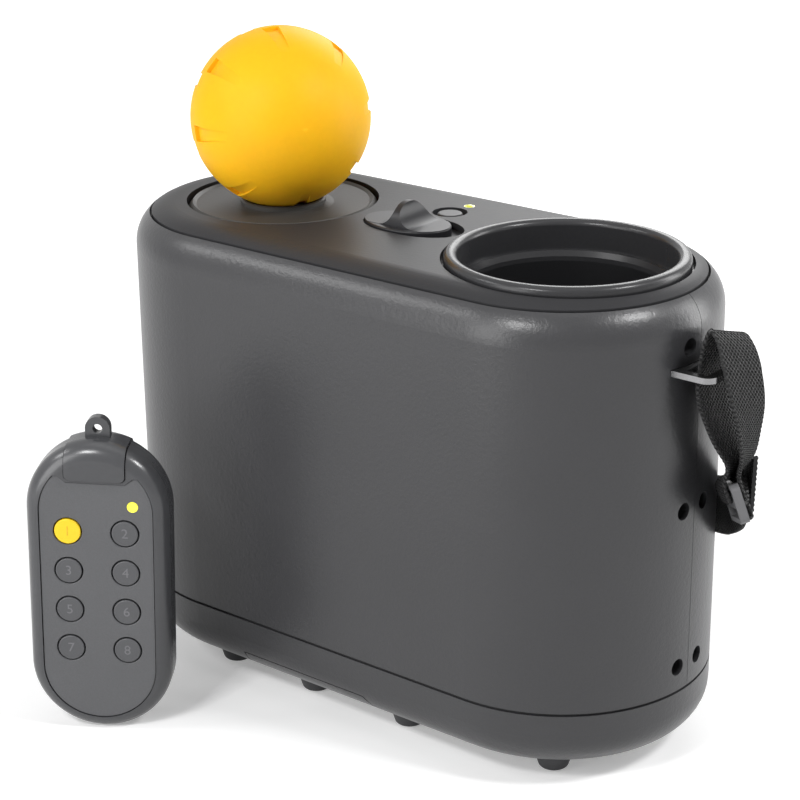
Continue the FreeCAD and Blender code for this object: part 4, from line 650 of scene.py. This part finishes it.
def line_at(points, t):
    """Point at a share t of a list of points."""
    place = t * (len(points) - 1)
    i = min(int(place), len(points) - 2)
    return points[i].lerp(points[i + 1], place - i)


STRAP_PARTS = (("strap_end_loop", loop_stations(), 0.45, 56, 0.14),
               ("strap_tail", tail_stations(), 0.45, 56, 0.14),
               ("strap_run", run_stations(), 1.0, 24, 0.0))
for node, stations, step, columns, relief in STRAP_PARTS:
    band = woven_band("woven_" + node.removeprefix("strap_"), stations, step, columns, relief)
    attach(band, "casing")
    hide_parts(node)

# %% [markdown]
# ## The launch spring
# The spring under the plunger is a coil of round wire whose two end turns lie closer together.
# The plunger presses it down by 70 mm, so the real spring is no rigid solid; this piece has the
# size and place that the frame gives its node, and it rides with the casing at that length. A
# wire swept along a helix is written directly as rings of points.

# %% Wind the launch spring
SPRING_WIRE = 0.0022
SPRING_TURNS = 9
STEPS_PER_TURN = 48
WIRE_SIDES = 12


def wind_spring():
    """Coil spring that fills its node's box, closed at both ends of the wire."""
    lowest, highest = (Vector(corner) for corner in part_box("launch_spring"))
    middle, wire = (lowest + highest) / 2, SPRING_WIRE / 2
    mean = (highest.x - lowest.x) / 2 - wire
    low, high = lowest.z + wire, highest.z - wire
    closed = 3 * wire
    pitch = (high - low - 2 * closed) / (SPRING_TURNS - 2)
    mesh = bmesh.new()
    rings = []
    for step in range(SPRING_TURNS * STEPS_PER_TURN + 1):
        turn = step / STEPS_PER_TURN
        height = low + closed * min(turn, 1) + pitch * min(max(turn - 1, 0), SPRING_TURNS - 2)
        height += closed * max(turn - (SPRING_TURNS - 1), 0)
        outwards = Vector((math.cos(math.tau * turn), math.sin(math.tau * turn), 0))
        centre = Vector((middle.x, middle.y, height)) + outwards * mean
        ring = []
        for side in range(WIRE_SIDES):
            angle = math.tau * side / WIRE_SIDES
            sideways, upwards = outwards * wire * math.cos(angle), Vector((0, 0, wire * math.sin(angle)))
            ring.append(mesh.verts.new(centre + sideways + upwards))
        rings.append(ring)
    for near, far in zip(rings, rings[1:]):
        for side in range(WIRE_SIDES):
            after = (side + 1) % WIRE_SIDES
            mesh.faces.new((near[side], near[after], far[after], far[side])).smooth = True
    mesh.faces.new(rings[0])
    mesh.faces.new(list(reversed(rings[-1])))
    bmesh.ops.recalc_face_normals(mesh, faces=mesh.faces[:])
    data = bpy.data.meshes.new("coil_spring")
    mesh.to_mesh(data)
    mesh.free()
    data.materials.append(spring_steel)
    spring = add_object("coil_spring", data)
    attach(spring, "casing")
    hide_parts("launch_spring")
    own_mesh(spring)


wind_spring()

# %% [markdown]
# ## Numbers on the keys
# Each key of the remote carries its number, printed so faintly that it shows only at an angle.
# Text objects give clean outlines; each is turned into a thin mesh that stands a hair above its
# key and rides with it.

# %% Places on the remote, as in its own drawing
HANDSET_PLACE = Vector((-64.5, -99.3, 0))
HANDSET_TURN = math.radians(34.0)
HANDSET_LEAN = math.radians(1.7)
HANDSET_RADIUS = 25.1
HANDSET_FOOT_CUT = 0.5
KEY_FACE = -8.8
KEY_ROWS = 4
LEFT_COLUMN = -10.0
COLUMN_GAP = 20.0
LOWEST_ROW = 32.1
ROW_GAP = 14.9
DIGIT_SIZE = 5.0
DIGIT_RISE = 0.05


def handset_matrix():
    """From the remote's own millimetres, facing -Y, to metres in the row frame."""
    pivot = Matrix.Translation((0, 0, HANDSET_RADIUS))
    lean = pivot @ Matrix.Rotation(HANDSET_LEAN, 4, "Y") @ pivot.inverted()
    stand = Matrix.Translation(HANDSET_PLACE) @ Matrix.Rotation(HANDSET_TURN, 4, "Z")
    drop = Matrix.Translation((0, 0, -HANDSET_FOOT_CUT))
    return Matrix.Scale(0.001, 4) @ stand @ drop @ lean


def key_number(number, x, z):
    """Thin raised digit on a key's face."""
    curve = bpy.data.curves.new(f"digit_{number}", "FONT")
    curve.body = str(number)
    curve.size = DIGIT_SIZE
    curve.align_x = "CENTER"
    curve.align_y = "CENTER"
    curve.extrude = DIGIT_RISE
    text = add_object(f"text_{number}", curve)
    mesh = bpy.data.meshes.new_from_object(text.evaluated_get(bpy.context.evaluated_depsgraph_get()))
    bpy.data.objects.remove(text)
    stand_up = Matrix.Translation((x, KEY_FACE, z)) @ Matrix.Rotation(math.radians(90), 4, "X")
    mesh.transform(handset_matrix() @ stand_up)
    mesh.materials.clear()
    mesh.materials.append(number_amber if number == 1 else number_grey)
    digit = add_object(f"key_number_{number}", mesh)
    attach(digit, f"key_{number}")


bpy.context.view_layer.update()
for number in range(1, 2 * KEY_ROWS + 1):
    row, column = divmod(number - 1, 2)
    key_number(number, LEFT_COLUMN + COLUMN_GAP * column, LOWEST_ROW + ROW_GAP * (KEY_ROWS - 1 - row))
print("numbers on the keys:", 2 * KEY_ROWS)

# %% [markdown]
# ## Floor, world and lamps
# The picture has a plain white ground. The floor is a large pale plane that keeps the object's
# soft shadow; towards the camera, and in reflections, it adds light of its own, so it reads as
# white. That glow is weak under the object and grows with distance, so that the shadow stays. The
# world does the same: white where it is looked at or mirrored, and a dim grey where it only
# lights the object.

# %% Lay the floor
FLOOR_REACH = 6.0
FLOOR_HEIGHT = -0.0003
FLOOR_GLOW = (("From Min", 0.2), ("From Max", 1.3), ("To Min", 0.3), ("To Max", 0.95))


def seen_directly(tree):
    """1 for camera, glossy and transmission rays."""
    path = tree.nodes.new("ShaderNodeLightPath")
    seen = math_node(tree, "MAXIMUM", path.outputs["Is Camera Ray"], path.outputs["Is Glossy Ray"])
    return math_node(tree, "MAXIMUM", seen, path.outputs["Is Transmission Ray"])


def lay_floor():
    mesh = bpy.data.meshes.new("studio_floor")
    turns = ((-1, -1), (1, -1), (1, 1), (-1, 1))
    corners = [(FLOOR_REACH * x, FLOOR_REACH * y, FLOOR_HEIGHT) for x, y in turns]
    mesh.from_pydata(corners, [], [(0, 1, 2, 3)])
    floor = add_object("studio_floor", mesh)
    material = bpy.data.materials.new("studio_floor")
    material.use_nodes = True
    tree = material.node_tree
    shader = tree.nodes["Principled BSDF"]
    shader.inputs["Base Color"].default_value = (0.86, 0.86, 0.86, 1)
    shader.inputs["Roughness"].default_value = 0.9
    shader.inputs["Specular IOR Level"].default_value = 0.0
    shader.inputs["Emission Color"].default_value = (1, 1, 1, 1)
    place = tree.nodes.new("ShaderNodeTexCoord").outputs["Object"]
    length = tree.nodes.new("ShaderNodeVectorMath")
    length.operation = "LENGTH"
    tree.links.new(place, length.inputs[0])
    rise = tree.nodes.new("ShaderNodeMapRange")
    rise.interpolation_type = "SMOOTHSTEP"
    for label, value in FLOOR_GLOW:
        rise.inputs[label].default_value = value
    tree.links.new(length.outputs["Value"], rise.inputs["Value"])
    glow = math_node(tree, "MULTIPLY", seen_directly(tree), rise.outputs["Result"])
    tree.links.new(glow, shader.inputs["Emission Strength"])
    mesh.materials.append(material)


lay_floor()
print("floor laid")

# %% Light the world
WORLD_FILL = 0.05


def light_world():
    world = bpy.data.worlds.new("studio_world")
    bpy.context.scene.world = world
    world.use_nodes = True
    tree = world.node_tree
    background = tree.nodes["Background"]
    background.inputs["Color"].default_value = (1, 1, 1, 1)
    extra = math_node(tree, "MULTIPLY", seen_directly(tree), 1.0 - WORLD_FILL)
    tree.links.new(math_node(tree, "ADD", extra, WORLD_FILL), background.inputs["Strength"])


light_world()
print("world fill:", WORLD_FILL)

# %% [markdown]
# Soft boxes do the rest, all aimed at the casing's middle. A lamp shows in a glossy rounding where
# the surface faces halfway between lamp and camera, so each highlight has its own small lamp at
# the mirror direction: one for the long front edge, one for the near corner of the top rounding
# and one for the right end. A wide weak key in front shapes the walls, a low one beside the right
# end draws the bright line down its edge, and two more light the back and the top.

# %% Hang the soft boxes
LAMP_TARGET = Vector((0.0, 0.0, 0.1))


def soft_box(name, azimuth, elevation, distance, size, power):
    """Rectangular area lamp aimed at the casing; azimuth 0 is in front, degrees to the right."""
    a, e = math.radians(azimuth), math.radians(elevation)
    away = Vector((math.sin(a) * math.cos(e), -math.cos(a) * math.cos(e), math.sin(e)))
    data = bpy.data.lights.new(name, "AREA")
    data.shape = "RECTANGLE"
    data.size, data.size_y = size
    data.energy = power
    lamp = add_object(name, data)
    lamp.location = LAMP_TARGET + away * distance
    lamp.rotation_euler = away.to_track_quat("Z", "Y").to_euler()


SOFT_BOXES = (("key_box", -14, 12, 1.0, (0.5, 0.7), 4.8),
              ("edge_box", -46, 36, 1.0, (0.30, 0.22), 1.8),
              ("corner_box", 4, 42, 1.0, (0.20, 0.16), 4.0),
              ("shoulder_box", 100, 46, 1.0, (0.18, 0.16), 5.0),
              ("rim_box", 138, 14, 1.0, (0.30, 0.7), 5.0),
              ("back_box", -160, 30, 1.2, (0.7, 0.5), 5.0),
              ("over_box", 0, 86, 1.1, (0.9, 0.5), 1.2))
for row in SOFT_BOXES:
    soft_box(*row)
print("soft boxes:", len(SOFT_BOXES))

# %% [markdown]
# ## Colour management and the last line
# Standard shows colours as they are written.

# %% Finish
bpy.context.scene.view_settings.view_transform = "Standard"
